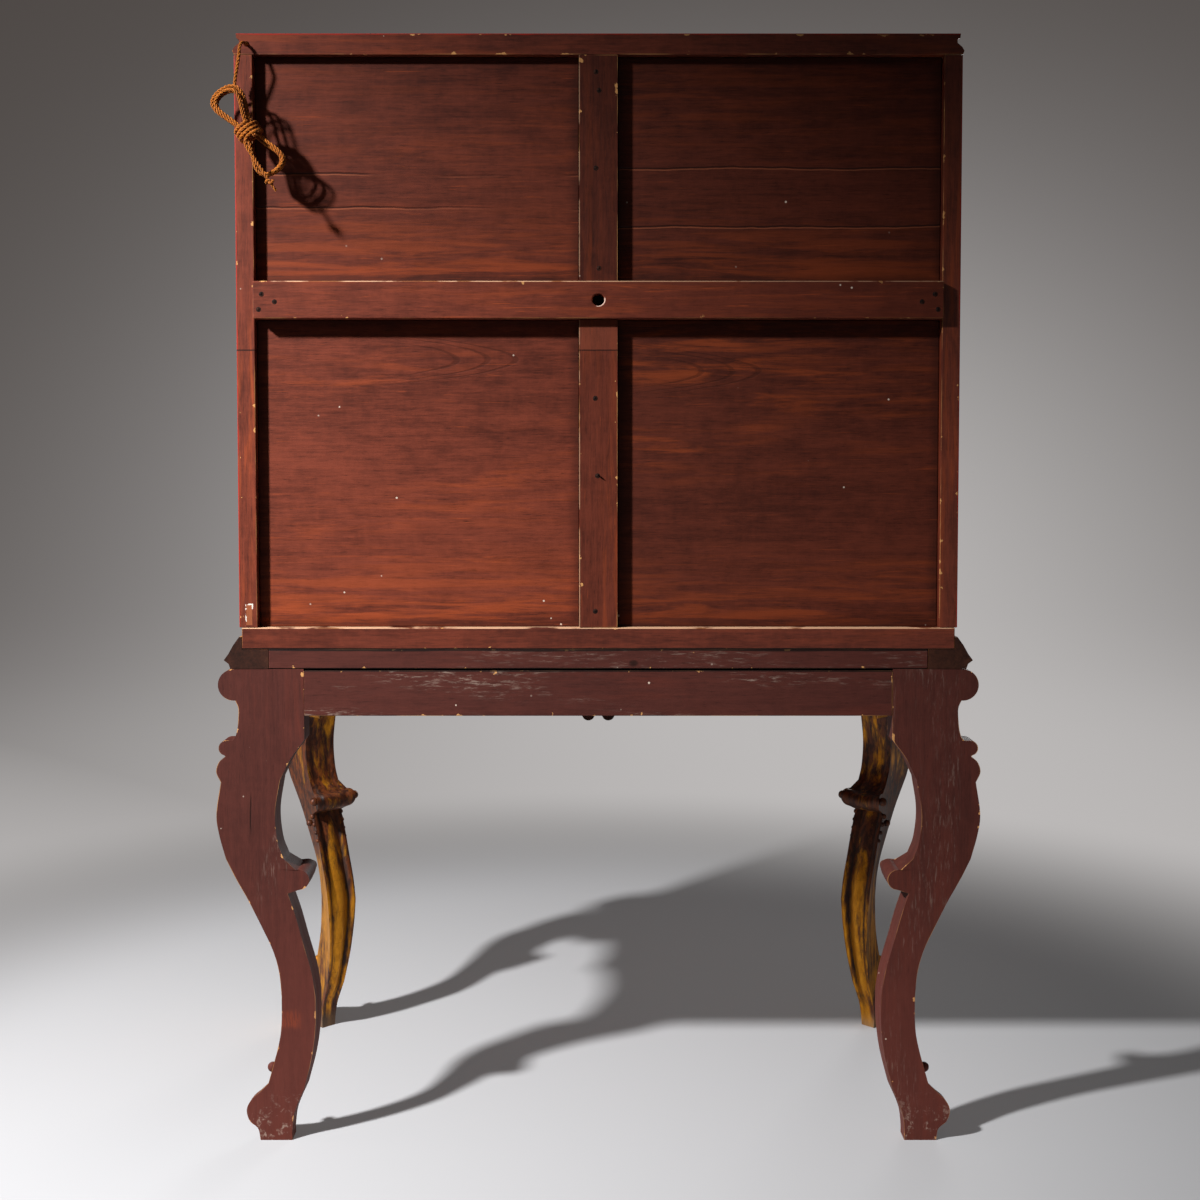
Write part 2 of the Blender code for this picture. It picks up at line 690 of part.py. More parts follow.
def doors():
    axis_x, axis_d = hinge_axis()
    made = {}
    for side, flip in SIDES.items():
        holder = pivot(f"door_{side}_axis", (flip * axis_x, depth(axis_d), DOOR_MID))
        ends = sorted((flip * DOOR_PLAY, flip * HALF))
        door = box(f"door_{side}", ends, (DOOR_BACK, CASE_DEPTH), (DOOR_Z, DOOR_TOP), red_lacquer, holder)
        made[side] = (door, holder)
        hinge(f"hinge_{side}_upper", side, flip, DOOR_TOP - HINGE_RISE, holder)
        hinge(f"hinge_{side}_lower", side, flip, DOOR_Z + HINGE_RISE, holder)
    return made


def lock(made):
    """The lock on the right door, with its key, and the keeper on the left one."""
    door, holder = made["right"]
    back_d = (DOOR_BACK - GAP - LOCK_T, DOOR_BACK - GAP)
    lock_x = (DOOR_PLAY, DOOR_PLAY + LOCK_W)
    lock_z = (LOCK_Z - LOCK_H / 2, LOCK_Z + LOCK_H / 2)
    body = box("lock_case", lock_x, back_d, lock_z, brass, holder)
    bolt_z = LOCK_Z + LOCK_BOLT_RISE
    bolt_d = back_d[0] + LOCK_T / 2

    def bolt_room(name, x, spare, material=None, carrier=None):
        half_t, half_w = LOCK_BOLT_T / 2 + spare, LOCK_BOLT_W / 2 + spare
        d, z = (bolt_d - half_t, bolt_d + half_t), (bolt_z - half_w, bolt_z + half_w)
        return box(name, x, d, z, material, carrier)

    cut(body, bolt_room("lock_channel", (lock_x[0] - LOCK_W, lock_x[1] + LOCK_W), SLIDE_GAP))
    slider = pivot("lock_bolt_axis", (0, depth(bolt_d), bolt_z))
    bolt_room("lock_bolt", (DOOR_PLAY + GAP, DOOR_PLAY + GAP + LOCK_BOLT_L), 0, brass, slider)
    keeper_z = LOCK_BOLT_W / 2 + KEEPER_WALL
    keeper_x = (-DOOR_PLAY - KEEPER_W, -DOOR_PLAY)
    keeper = box(
        "lock_keeper", keeper_x, back_d, (bolt_z - keeper_z, bolt_z + keeper_z), brass, made["left"][1]
    )
    cut(keeper, bolt_room("keeper_pocket", (-DOOR_PLAY - KEEPER_W + KEEPER_WALL, KEEPER_W), SLIDE_GAP))

    key_x = DOOR_PLAY + KEY_SETBACK
    key_z = LOCK_Z - KEY_DROP
    turn = pivot("key_axis", (key_x, depth(CASE_DEPTH), key_z))
    front = (key_x, depth(CASE_DEPTH), key_z)
    outwards = (0, -1, 0)
    plate_back = CASE_DEPTH + GAP
    points = 24
    rim = []
    for i in range(points):
        a = 2 * math.pi * i / points
        swell = 1 + 0.06 * math.cos(4 * a)
        rim.append((key_x + PLATE_W / 2 * swell * math.cos(a), key_z + PLATE_H / 2 * swell * math.sin(a)))
    caps = [[(x, depth(d), z) for x, z in rim] for d in (plate_back, plate_back + PLATE_T)]
    plate = loft("lock_plate", caps, brass, holder)
    chamber_r = KEY_BIT_REACH + 2 * SLIDE_GAP
    chamber_d = (DOOR_BACK - GAP) - CASE_DEPTH
    chamber_l = KEY_BIT_L + 4 * SLIDE_GAP
    hollow = ((chamber_r, chamber_d - chamber_l), (chamber_r, chamber_d + chamber_l))
    cut(body, turned("key_chamber", hollow, front, outwards))
    near = PLATE_T * 4
    hole = ((KEYHOLE_R, chamber_d - LOCK_T * 0.75), (KEYHOLE_R, near))
    round_hole = turned("keyhole_round", hole, front, outwards, sides=16)
    slot_half = KEY_BIT_W / 2 + 2 * SLIDE_GAP
    slot_z = (key_z - chamber_r, key_z)
    slot_x, slot_d = (key_x - slot_half, key_x + slot_half), (DOOR_BACK - GAP / 2, CASE_DEPTH + near)
    slot = box("keyhole_slot", slot_x, slot_d, slot_z)
    for piece in (door, plate):
        cut(piece, round_hole)
        cut(piece, slot)
    cut(body, round_hole)
    shank_end = chamber_d - KEY_BIT_L - 2 * SLIDE_GAP
    collar = PLATE_T + 3 * GAP
    profile = (
        (KEY_SHANK_R, shank_end),
        (KEY_SHANK_R, collar),
        (KEYHOLE_R * 1.35, collar),
        (KEYHOLE_R * 1.35, collar + 0.003),
        (KEY_SHANK_R, collar + 0.004),
        (KEY_SHANK_R, KEY_STANDS_OUT - KEY_BOW_H * 0.3),
    )
    key = turned("key", profile, front, outwards, brass, turn, sides=16)
    bit_d = CASE_DEPTH + shank_end + SLIDE_GAP
    bit_x = (key_x - KEY_BIT_W / 2, key_x + KEY_BIT_W / 2)
    join(key, box("key_bit", bit_x, (bit_d, bit_d + KEY_BIT_L), (key_z - KEY_BIT_REACH, key_z)))
    bow = []
    for i in range(points):
        a = 2 * math.pi * i / points
        pinch = 1 - 0.16 * math.cos(2 * a) ** 2
        bow.append((KEY_BOW_W / 2 * pinch * math.cos(a), KEY_STANDS_OUT + KEY_BOW_H / 2 * math.sin(a)))
    faces = (key_z - KEY_BOW_T / 2, key_z + KEY_BOW_T / 2)
    caps = [[(key_x + x, depth(CASE_DEPTH + d), z) for x, d in bow] for z in faces]
    join(key, loft("key_bow", caps))


def slide_bolts(made, bottom, top):
    """Two bolts inside the left door that shoot into the top and the bottom board."""
    holder = made["left"][1]
    x = -DOOR_PLAY - ROD_SETBACK
    d = DOOR_BACK - GAP - GUIDE_T / 2

    def rod_room(name, z, spare, material=None, carrier=None):
        half_w, half_t = ROD_W / 2 + spare, ROD_T / 2 + spare
        return box(name, (x - half_w, x + half_w), (d - half_t, d + half_t), sorted(z), material, carrier)

    ends = {"upper": (DOOR_TOP, 1, top), "lower": (DOOR_Z, -1, bottom)}
    for level, (end, way, board) in ends.items():
        tip = end - way * GAP
        carrier = pivot(f"bolt_{level}_axis", (x, depth(d), tip))
        rod = rod_room(f"bolt_{level}", (tip, tip - way * ROD_L), 0, brass, carrier)
        knob_z = tip - way * (GUIDE_DROP + GUIDE_H + ROD_TRAVEL + 3 * ROD_KNOB_R)
        base = (x, depth(d), knob_z)
        knob = ((ROD_KNOB_R, 0), (ROD_KNOB_R, ROD_T / 2 + ROD_KNOB_L))
        join(rod, turned(f"bolt_{level}_knob", knob, base, (0, 1, 0), sides=12))
        guide_z = sorted((end - way * GUIDE_DROP, end - way * (GUIDE_DROP + GUIDE_H)))
        guide_d = (DOOR_BACK - GAP - GUIDE_T, DOOR_BACK - GAP)
        guide_x = (x - GUIDE_W / 2, x + GUIDE_W / 2)
        guide = box(f"bolt_guide_{level}", guide_x, guide_d, guide_z, brass, holder)
        cut(guide, rod_room(f"guide_{level}_channel", (guide_z[0] - ROD_L, guide_z[1] + ROD_L), SLIDE_GAP))
        socket = (end, end + way * (DOOR_PLAY + ROD_TRAVEL + 2 * SLIDE_GAP))
        cut(board, rod_room(f"socket_{level}", socket, 2 * SLIDE_GAP))


def lamp():
    """The lamp under the top: holder, bulb, and the run of cord that feeds it."""
    base = (0, depth(LAMP_DEPTH), TOP_Z - GAP)
    low = LAMP_BASE_H
    profile = (
        (LAMP_BASE_R, 0),
        (LAMP_BASE_R, low * 0.25),
        (LAMP_BASE_R * 0.62, low * 0.45),
        (LAMP_BASE_R * 0.58, low),
    )
    turned("lamp_holder", profile, base, (0, 0, -1), brass)
    bulb_top = low + GAP
    bulb = [(BULB_R * 0.55, 0), (BULB_R * 0.58, BULB_H * 0.2)]
    middle = BULB_H - BULB_R
    for a in np.radians(np.linspace(-35, 84, 8)):
        bulb.append((BULB_R * math.cos(a), middle + BULB_R * math.sin(a)))
    turned("lamp_bulb", [(r, bulb_top + h) for r, h in bulb], base, (0, 0, -1), frosted_glass)
    mouth, inwards = bore_axis()
    well = mouth + inwards * (math.hypot(CORD_BORE_SLANT, CORD_BORE_DEPTH) - CORD_BORE_D)
    run_z = TOP_Z - CORD_D / 2 - 2 * GAP
    end_x = LAMP_BASE_R + GAP
    turn = 4 * CORD_D
    route = (
        (well.x, well.y, run_z + CORD_D * 1.6),
        (well.x, well.y, run_z - CORD_D * 0.4),
        (well.x - turn * 0.5, well.y - turn * 0.3, run_z - CORD_D * 1.6),
        (well.x - turn * 2.2, well.y - turn * 1.0, run_z - CORD_D * 0.5),
        (well.x - turn * 4.5, well.y - turn * 2.2, run_z),
        (well.x * 0.55, (well.y + base[1]) / 2, run_z),
        (turn * 4, base[1] + turn * 0.3, run_z),
        (end_x + CORD_D * 2, base[1], run_z),
        (end_x, base[1], run_z),
    )
    points = [Vector(p) for p in smooth(route, 4)] + [Vector(route[-1])]
    tube("lamp_flex_inside", points, CORD_D / 2, 2, silk)


def hank_frame():
    """The hank's middle and its axes: along its length, across it, and away from the back."""
    middle = Vector((BORE_X - HANK_ASIDE, depth(0) + HANK_OFF, BORE_Z - HANK_DROP))
    tilt = math.radians(HANK_TILT_DEG)
    along = Vector((math.sin(tilt), 0, math.cos(tilt)))
    across = Vector((math.cos(tilt), 0, -math.sin(tilt)))
    return middle, along, across, Vector((0, 1, 0))


def hermite(start, start_way, end, end_way, parts):
    """Points strictly between two ends, leaving and arriving in the given directions."""
    t = (np.arange(1, parts) / parts)[:, None]
    h = (2 * t**3 - 3 * t**2 + 1, t**3 - 2 * t**2 + t, 3 * t**2 - 2 * t**3, t**3 - t**2)
    return h[0] * start + h[1] * start_way + h[2] * end + h[3] * end_way


def hank_path():
    """The cord's centreline in the hank: loops along, wraps round the waist, then the tail.

    Each row is along, across and off. A loop is a = A cos q, b = sin q (w + g cos^2 q), which draws it
    in at the waist, and each turn climbs one step off the back. The loops swell and shrink by one step.
    """
    turns = np.arange(0, HANK_TURNS, 1 / LOOP_POINTS)
    q = math.radians(322) - 2 * math.pi * turns
    swell = HANK_STEP * (0.5 - 0.5 * np.cos(math.pi * turns))
    half_l = HANK_HALF_L + swell
    loops = np.stack(
        (
            half_l * np.cos(q),
            np.sin(q) * (HANK_WAIST + swell + (HANK_SPREAD + swell) * np.cos(q) ** 2),
            HANK_STEP * turns,
        ),
        axis=1,
    )
    lead = loops[0] + (loops[0] - loops[1]) / np.linalg.norm(loops[0] - loops[1]) * CORD_D
    top = HANK_STEP * (HANK_TURNS + 1)
    low = -HANK_STEP
    round_r = HANK_WAIST + 2.17 * HANK_STEP
    straight = (top - low) / 2 - round_r + 0.25 * HANK_STEP
    centre_n = (top + low) / 2
    # A wrap is a stadium: half circles on the outer and the back side, straight along the two others
    flat, bow = 4, 8
    a = np.linspace(0, math.pi / 2, bow // 2 + 1)
    quarter = np.stack((round_r * np.sin(a), straight + round_r * np.cos(a)), axis=1)
    side = np.linspace(straight, -straight, flat + 1)[1:-1]
    side = np.stack((np.full(len(side), round_r), side), axis=1)
    right = np.concatenate((quarter, side, quarter[::-1] * (1, -1)))
    one = np.concatenate((right, right[::-1][1:-1] * (-1, 1)))
    count = len(one)
    index = np.arange(WRAP_TURNS * count + 1)
    wraps = np.stack(
        (
            HANK_STEP * (WRAP_TURNS / 2 - index / count),
            one[index % count, 0],
            centre_n + one[index % count, 1],
        ),
        axis=1,
    )
    pull = 0.022
    leave = (loops[-1] - loops[-2]) / np.linalg.norm(loops[-1] - loops[-2]) * pull
    across = np.array((0.0, 1.0, 0.0))
    rise = hermite(loops[-1], leave, wraps[0], across * pull, 6)
    tail_way = np.array((-1.0, 0.0, 0.0))
    tail_start = wraps[-1] + np.array((-2.6 * HANK_STEP, 2.2 * HANK_STEP, 0.5 * HANK_STEP))
    bend = hermite(wraps[-1], across * pull, tail_start, tail_way * pull, 5)
    tail = tail_start + tail_way * np.linspace(0, TAIL_L, 6)[:, None]
    return np.concatenate((lead[None], loops, rise, wraps, bend, tail))


def least_gap(path):
    """The least gap of the tube to itself, over points that aren't neighbours along it."""
    fine = np.concatenate([path[:-1] + (path[1:] - path[:-1]) * s for s in (0, 0.25, 0.5, 0.75)])
    order = np.argsort(np.concatenate([np.arange(len(path) - 1) + s for s in (0, 0.25, 0.5, 0.75)]))
    fine = fine[order]
    run = np.concatenate(((0,), np.cumsum(np.linalg.norm(np.diff(fine, axis=0), axis=1))))
    apart = np.linalg.norm(fine[:, None] - fine[None], axis=2)
    apart[np.abs(run[:, None] - run[None]) < 5 * CORD_D] = 1
    return apart.min() - CORD_D


def cord():
    middle, along, across, off = hank_frame()
    path = hank_path()
    points = [middle + along * a + across * b + off * n for a, b, n in path]
    print(f"hank: least gap {least_gap(path) * 1000:.2f} mm")
    tube("cord_hank", points, CORD_D / 2, 1, silk)
    mouth, inwards = bore_axis()
    way = (points[0] - points[1]).normalized()
    end = points[0] + way * GAP
    out = -inwards
    bend = 5 * CORD_D
    route = (
        mouth + inwards * CORD_START_DEPTH,
        mouth + inwards * CORD_D,
        mouth + out * CORD_D,
        mouth + out * bend * 0.55 + Vector((0, 0, -CORD_D * 0.35)),
        mouth + out * bend * 0.82 + Vector((0, 0, -CORD_D * 1.9)),
        mouth + out * bend * 0.92 + Vector((0, 0, -CORD_D * 4.5)),
        end + way * CORD_D * 3.2,
        end + way * CORD_D * 1.2,
        end,
    )
    drop = [Vector(p) for p in smooth(route, 3)] + [Vector(route[-1])]
    tube("cord_drop", drop, CORD_D / 2, 2, silk)
    tail_way = (points[-1] - points[-2]).normalized()
    steps = np.radians(np.linspace(-62, 62, 9))
    rise = math.sin(steps[-1])
    profile = [(KNOT_R * math.cos(a), KNOT_R * (math.sin(a) + rise) * 1.2 + GAP) for a in steps]
    turned("cord_end_knot", profile, points[-1], tail_way, silk, sides=14)


def main():
    clear_scene()
    legs()
    aprons()
    seat_frame()
    bottom, top = case()
    back()
    shelf()
    made = doors()
    lock(made)
    slide_bolts(made, bottom, top)
    lamp()
    cord()


main()
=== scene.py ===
"""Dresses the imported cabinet: washed back, carved gilt stand, red lacquer, brass and a twisted cord."""

import math

import bpy
import numpy as np
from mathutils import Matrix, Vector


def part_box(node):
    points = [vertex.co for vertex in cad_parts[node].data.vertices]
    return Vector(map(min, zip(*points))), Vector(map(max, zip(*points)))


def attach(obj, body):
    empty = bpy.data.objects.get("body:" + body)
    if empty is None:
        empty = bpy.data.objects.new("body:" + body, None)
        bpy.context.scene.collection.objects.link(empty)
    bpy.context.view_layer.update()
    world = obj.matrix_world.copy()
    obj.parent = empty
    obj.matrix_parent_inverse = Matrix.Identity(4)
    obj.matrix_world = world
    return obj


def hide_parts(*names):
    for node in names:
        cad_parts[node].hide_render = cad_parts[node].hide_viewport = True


bl_info = {
    "name": "Cocktail Cabinet on a Carved Stand",
    "version": (1, 0, 0),
    "blender": (4, 5, 0),
    "location": "View3D > Sidebar > Cabinet",
    "description": "Builds the carved legs, the cord and the finishes of a lacquered cabinet",
    "category": "Object",
}

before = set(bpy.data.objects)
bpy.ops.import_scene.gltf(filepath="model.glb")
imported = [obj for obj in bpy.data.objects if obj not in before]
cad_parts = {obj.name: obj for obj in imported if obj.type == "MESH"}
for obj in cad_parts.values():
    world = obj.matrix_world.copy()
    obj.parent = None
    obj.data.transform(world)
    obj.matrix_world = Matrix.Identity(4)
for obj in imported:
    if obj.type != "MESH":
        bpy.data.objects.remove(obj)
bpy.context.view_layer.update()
BACK_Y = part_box("case_side_left")[1].y
LEG_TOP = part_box("leg_rear_left")[1].z
SIDES = {"right": 1, "left": -1}
PAINT_SKIN = 0.0008
BOARD_ARRIS = 0.0012
LACQUER_ARRIS = 0.0010

# Marks of age, as x and z: a rust spot, a crack, a joint's height, a knot and an inlay
RUST_SPOT = (0.416, 0.164)
LEG_CRACK_X = 0.4645
LEG_CRACK_Z = (0.412, 0.478)
JOINT_Z = 1.0635
STRIP_KNOT = (-0.047, 0.6475)
INLAY = ((0.4605, 0.4690), (0.6985, 0.7265))

# Nails: the muntins' first place aside, stagger and heights, other places as x and z, and their radii
UPPER_NAILS = (0.003, 0.004, (1.427, 1.403, 1.302, 1.171))
LOWER_NAILS = (0.004, 0.003, (1.000, 0.8975, 0.7173))
RAIL_NAILS = ((0.442, 1.136), (0.446, 1.116), (0.425, 1.126))
PROUD_NAIL = (0.0005, 0.8985)
# The hole discs and the bore's plug are dark discs of painted shade.
NAIL_HOLE_SHADE = (0.0034, 0.0003, 0.0034)
NAIL_HEAD = (0.0019, 0.0009, 0.0019)
NAIL_SHANK = (0.0011, 0.0042, 0.0012)
BORE_SHADE_PLUG = (0.00795, 0.003, 0.00795)

# Carving: the aprons' depth, the bead's inset and radius, and the shell's middle and longest ray
APRON_DEPTH = 0.063
BEAD_INSET = 0.0075
BEAD_RADIUS = 0.0034
SHELL_Z = 0.566
SHELL_RAY = 0.046

# Legs: the drawing's height, the groove's place, and each pair's corner, turn, widths and lift
DRAWN_LEG = 0.640
GROOVE = 0.62
REAR_LEG = {"corner": (0.393, BACK_Y, 0), "turn": 0, "wide": 0.038, "foot": 0.7, "lift": 0, "half": True}
FRONT_LEG = {
    "corner": (0.422, BACK_Y - 0.410, 0),
    "turn": math.pi / 4,
    "wide": 0.027,
    "foot": 0.45,
    "lift": 0.014,
    "half": False,
}

# The cord's hank and the bore that it comes out of
HANK_TURNS = 4.12
HANK_HALF = 0.058
HANK_SPREAD = 0.036
HANK_STEP = 0.0054
HANK_WAIST = 0.0030
HANK_TILT = math.radians(33.7)
WRAPS = 3
TAIL = 0.046
CORD_STEP = 0.0009
BORE = np.array((0.461, BACK_Y, 1.4632))
BORE_WAY = np.array((-0.014, -0.050, 0.0)) / math.hypot(0.014, 0.050)

# Stage: the bowl's radius and height, the lamps' places, aims, watts, radii and cones, and the lens
BOWL = ((0.00001, 0), (1.4, 0), (3.0, 0), (5.4, 0), (6.8, 0.35), (7.6, 1.6), (7.8, 3.4), (7.8, 5.6))
LAMPS = {
    "key": ((1.95, BACK_Y + 1.35, 2.37), (0.62, BACK_Y, 0.36), 780, 0.09, 64),
    "fill_front": ((-1.0, -2.7, 1.25), (0, -0.26, 1.12), 170, 0.6, 60),
}
AIR = 0.12
LENS_MM = 47.49
PITCH = 0.045
SHIFT = (0.0014, -0.0645)


def srgb(red, green, blue):
    """A colour written in 0 to 255 steps, as the linear light that shaders use."""
    steps = np.array((red, green, blue)) / 255
    light = np.where(steps < 0.04045, steps / 12.92, ((steps + 0.055) / 1.055) ** 2.4)
    return (*(float(v) for v in light), 1.0)


def colour(name, words, *steps):
    return bpy.props.FloatVectorProperty(
        name=name, description=words, subtype="COLOR", size=4, min=0, max=1, default=srgb(*steps)
    )


def length(name, words, metres):
    return bpy.props.FloatProperty(name=name, description=words, default=metres, unit="LENGTH")


class CabinetSizes(bpy.types.PropertyGroup):
    """Sizes of the pieces that are made here."""

    cord_diameter: length("Cord", "Diameter over its strands", 0.0046)
    twist: length("Twist", "Length of one turn of the strands", 0.0155)
    channel: length("Channel", "Depth of the hollow down the legs", 0.006)
    bead: length("Bead", "Radius of the carved balls on the legs", 0.0068)
    lens_height: length("Lens height", "Camera above the floor", 0.93)
    lens_distance: length("Lens distance", "Camera from the cabinet's back", 2.1)


class CabinetColours(bpy.types.PropertyGroup):
    """Colours of the finishes."""

    back_light: colour("Back, light", "Red-brown wash on the cabinet's back", 110, 50, 34)
    back_dark: colour("Back, dark", "The wash where it lies thick", 64, 26, 17)
    back_worn: colour("Back, worn", "Wood that shows through the wash", 156, 70, 34)
    stand_light: colour("Stand, light", "Plum-brown paint on the stand's back", 82, 41, 34)
    stand_dark: colour("Stand, dark", "The same paint in its shadows", 62, 30, 25)
    raw: colour("Bare wood", "Chips and rubbed edges", 206, 150, 92)
    dust: colour("Dust", "Pale specks and scuffs", 214, 194, 176)
    lacquer: colour("Lacquer", "Red lacquer of the sides, top and doors", 138, 24, 16)
    lacquer_dark: colour("Lacquer, dark", "Older, browner lacquer", 94, 15, 10)
    gold: colour("Gold", "Leaf on the stand", 216, 146, 36)
    bole: colour("Bole", "Brown clay under the leaf", 122, 64, 20)
    brass: colour("Brass", "Hinges, lock and bolts", 186, 142, 70)
    silk: colour("Cord", "Gold-brown cord", 212, 122, 34)
    # Painted shade between the cord's threads.
    silk_thread_shade: colour("Cord, dark", "Between its threads", 46, 18, 2)
    floor: colour("Floor", "Pale studio floor", 187, 187, 189)
    wall: colour("Wall", "Grey studio wall", 74, 68, 65)


def maths(operation):
    """A method that puts a wire, and what it is joined to, through one Math node."""

    def method(self, *others):
        terms = dict(enumerate((self, *others)))
        return self.finish.node("ShaderNodeMath", {"operation": operation}, terms)

    return method


class Wire:
    """A shader socket that takes part in sums."""

    def __init__(self, finish, socket):
        self.finish = finish
        self.socket = socket

    __add__ = __radd__ = maths("ADD")
    __sub__ = maths("SUBTRACT")
    __mul__ = __rmul__ = maths("MULTIPLY")
    __abs__ = maths("ABSOLUTE")
    low = maths("MINIMUM")
    high = maths("MAXIMUM")
    wave = maths("SINE")
    exponent = maths("EXPONENT")

    def __rsub__(self, other):
        return self * -1.0 + other

    def fade(self):
        """e to the power of minus this."""
        return (self * -1.0).exponent()


class Finish:
    """The nodes of one material, made by expressions on wires. Its colour so far is base."""

    def __init__(self, name):
        self.material = bpy.data.materials.new(name)
        self.material.use_nodes = True
        self.tree = self.material.node_tree
        self.shader = self.tree.nodes["Principled BSDF"]
        self.shader.inputs["Specular IOR Level"].default_value = 0.13
        self.place = self.node("ShaderNodeTexCoord", output="Object")
        axes = self.node("ShaderNodeSeparateXYZ", None, {0: self.place}).socket.node.outputs
        self.x, self.y, self.z = (Wire(self, out) for out in axes)
        self.base = None

    def node(self, kind, settings=None, inputs=None, output=0):
        """Any node: its settings first, then the values or wires of its sockets."""
        made = self.tree.nodes.new(kind)
        for key, value in (settings or {}).items():
            setattr(made, key, value)
        sockets = {s.identifier: s for s in made.inputs}
        for key, value in (inputs or {}).items():
            socket = made.inputs[key] if isinstance(key, int) else sockets[key]
            if isinstance(value, Wire):
                self.tree.links.new(value.socket, socket)
            else:
                socket.default_value = value
        outputs = {s.identifier: s for s in made.outputs}
        return Wire(self, made.outputs[output] if isinstance(output, int) else outputs[output])

    def mix(self, share, first, second):
        inputs = {"Factor_Float": share, "A_Color": first, "B_Color": second}
        return self.node("ShaderNodeMix", {"data_type": "RGBA"}, inputs, "Result_Color")

    def lay(self, share, tint):
        """Lays a colour over the base by a share of 0 to 1."""
        self.base = self.mix(share, self.base, tint)

    def ease(self, wire, start, end):
        """0 before start, 1 after end, and a smooth climb between."""
        inputs = {"Value": wire, "From Min": start, "From Max": end}
        return self.node("ShaderNodeMapRange", {"interpolation_type": "SMOOTHSTEP"}, inputs)

    def noise(self, stretch, seed=0.0, detail=3.0, distortion=0.0, crisp=0.5):
        """Noise of so many waves a metre: one number, or one for each axis."""
        scale = stretch if isinstance(stretch, tuple) else (stretch,) * 3
        inputs = {"Vector": self.place, "Location": (seed, seed * 0.7, seed * 1.3), "Scale": scale}
        inputs = {"Vector": self.node("ShaderNodeMapping", None, inputs), "Scale": 1.0, "Detail": detail}
        inputs |= {"Distortion": distortion, "Roughness": crisp}
        return self.node("ShaderNodeTexNoise", None, inputs)

    def cells(self, scale, feature="F1", seed=0.0):
        inputs = {"Vector": self.place, "Location": (seed,) * 3, "Scale": (scale,) * 3}
        vector = self.node("ShaderNodeMapping", None, inputs)
        return self.node("ShaderNodeTexVoronoi", {"feature": feature}, {"Vector": vector, "Scale": 1.0})

    def grain(self, axis, along, across):
        return tuple(along if name == axis else across for name in "xyz")

    def told(self, name):
        """A number that the piece carries at each point."""
        return self.node("ShaderNodeAttribute", {"attribute_name": name}, None, "Fac")

    def gap(self, box, key, end):
        """The distance from one face of a block."""
        return abs({"x": self.x, "z": self.z}[key] - box[end]["xyz".index(key)])

    def arris(self, box):
        """The distance from a block's nearest arris: the middle of the three distances from its faces."""
        low, high = box
        gaps = [(w - a).low(b - w) for w, a, b in zip((self.x, self.y, self.z), low, high)]
        return gaps[0].low(gaps[1]).high(gaps[0].high(gaps[1]).low(gaps[2]))

    def chips(self, arris, seed, raw):
        """A thin rubbed line along the arris that comes and goes, and larger chips, which it returns."""
        rub = self.noise(16.0, seed + 15, 3.0)
        line = self.ease(0.0012 - arris, 0.0, 0.0007) * self.ease(rub, 0.42, 0.66)
        bite = self.ease(self.noise(75.0, seed + 5, 4.0), 0.6, 0.76) * 0.006
        bite = self.ease(bite - arris, 0.0, 0.0006)
        self.lay((line * 0.55).high(bite * 0.85), raw)
        return bite

    def specks(self, scale, size, seed):
        """Small dots in some of the cells of a Voronoi pattern."""
        spot = self.ease(self.cells(scale, seed=seed), size, size * 0.5)
        return spot * self.ease(self.noise(9.0, seed), 0.55, 0.6)

    def timber(self, axis, light, dark, worn, seed, wear=0.5):
        """Wash on old wood as base: figure, mottling, streaks and fibres. Returns its height."""
        broad = self.noise(self.grain(axis, 1.6, 7.0), seed, 2.0, 1.0)
        mottle = self.noise(self.grain(axis, 24.0, 48.0), seed + 2, 6.0, 0.4, 0.7)
        streak = self.noise(self.grain(axis, 8.0, 200.0), seed + 3, 5.0, 0.0, 0.64)
        fibre = self.noise(self.grain(axis, 55.0, 620.0), seed + 7, 3.0, 0.0, 0.62)
        brush = self.noise(self.grain(axis, 150.0, 30.0), seed + 17, 5.0, 0.4, 0.66)
        figure = broad * 0.2 + mottle * 0.3 + streak * 0.22 + fibre * 0.2 + brush * 0.08
        self.base = self.mix(self.ease(figure, 0.35, 0.64), dark, light)
        place = self.ease(self.noise(self.grain(axis, 1.3, 6.0), seed + 13, 3.0, 1.2), 0.42, 0.66)
        rubbed = self.ease(self.noise(self.grain(axis, 7.0, 90.0), seed + 11, 6.0, 0.5, 0.68), 0.44, 0.66)
        self.lay(rubbed * place * wear, worn)
        self.lay(self.ease(fibre, 0.36, 0.28) * 0.4, srgb(30, 12, 8))
        return streak * 0.35 + fibre * 0.5 + brush * 0.15

    def rubbed_highlight_rim(self, box, key, end, share, seed):
        """A pale line along one edge of a block: partly rubbed wear, partly painted highlight where the
        light catches that edge.
        """
        rubbed = self.ease(self.noise(24.0, seed + 41, 5.0), 0.38, 0.5)
        self.lay(self.ease(self.gap(box, key, end), 0.0017, 0.0007) * rubbed * share, srgb(222, 176, 140))

    def painted_joint_shade(self, box, end, deep, seed):
        """Painted shade: a dark, uneven line along a block's lower or upper edge, where it meets the next
        part.
        """
        wide = self.noise((6.0, 1.0, 1.0), seed + 27, 4.0) * deep
        dark = self.ease(self.gap(box, "z", end) - wide, 0.0004, -0.0004)
        self.lay(dark * 0.9, srgb(12, 6, 4))

    def strip(self, wire, place, half):
        """1 on a thin line where a wire has one value."""
        return self.ease(abs(wire - place), half, half * 0.4)

    def shade(self, rough, height, strength=0.25, distance=0.0006, metal=0.0):
        """Joins the finish to the shader. Height becomes a bump."""
        bump = {"Strength": strength, "Distance": distance, "Height": height}
        sockets = {"Base Color": self.base, "Roughness": rough, "Metallic": metal}
        sockets["Normal"] = self.node("ShaderNodeBump", None, bump)
        for key, value in sockets.items():
            if isinstance(value, Wire):
                self.tree.links.new(value.socket, self.shader.inputs[key])
            else:
                self.shader.inputs[key].default_value = value
        return self.material


def tints():
    return bpy.context.scene.cabinet_colours


def sizes():
    return bpy.context.scene.cabinet_sizes


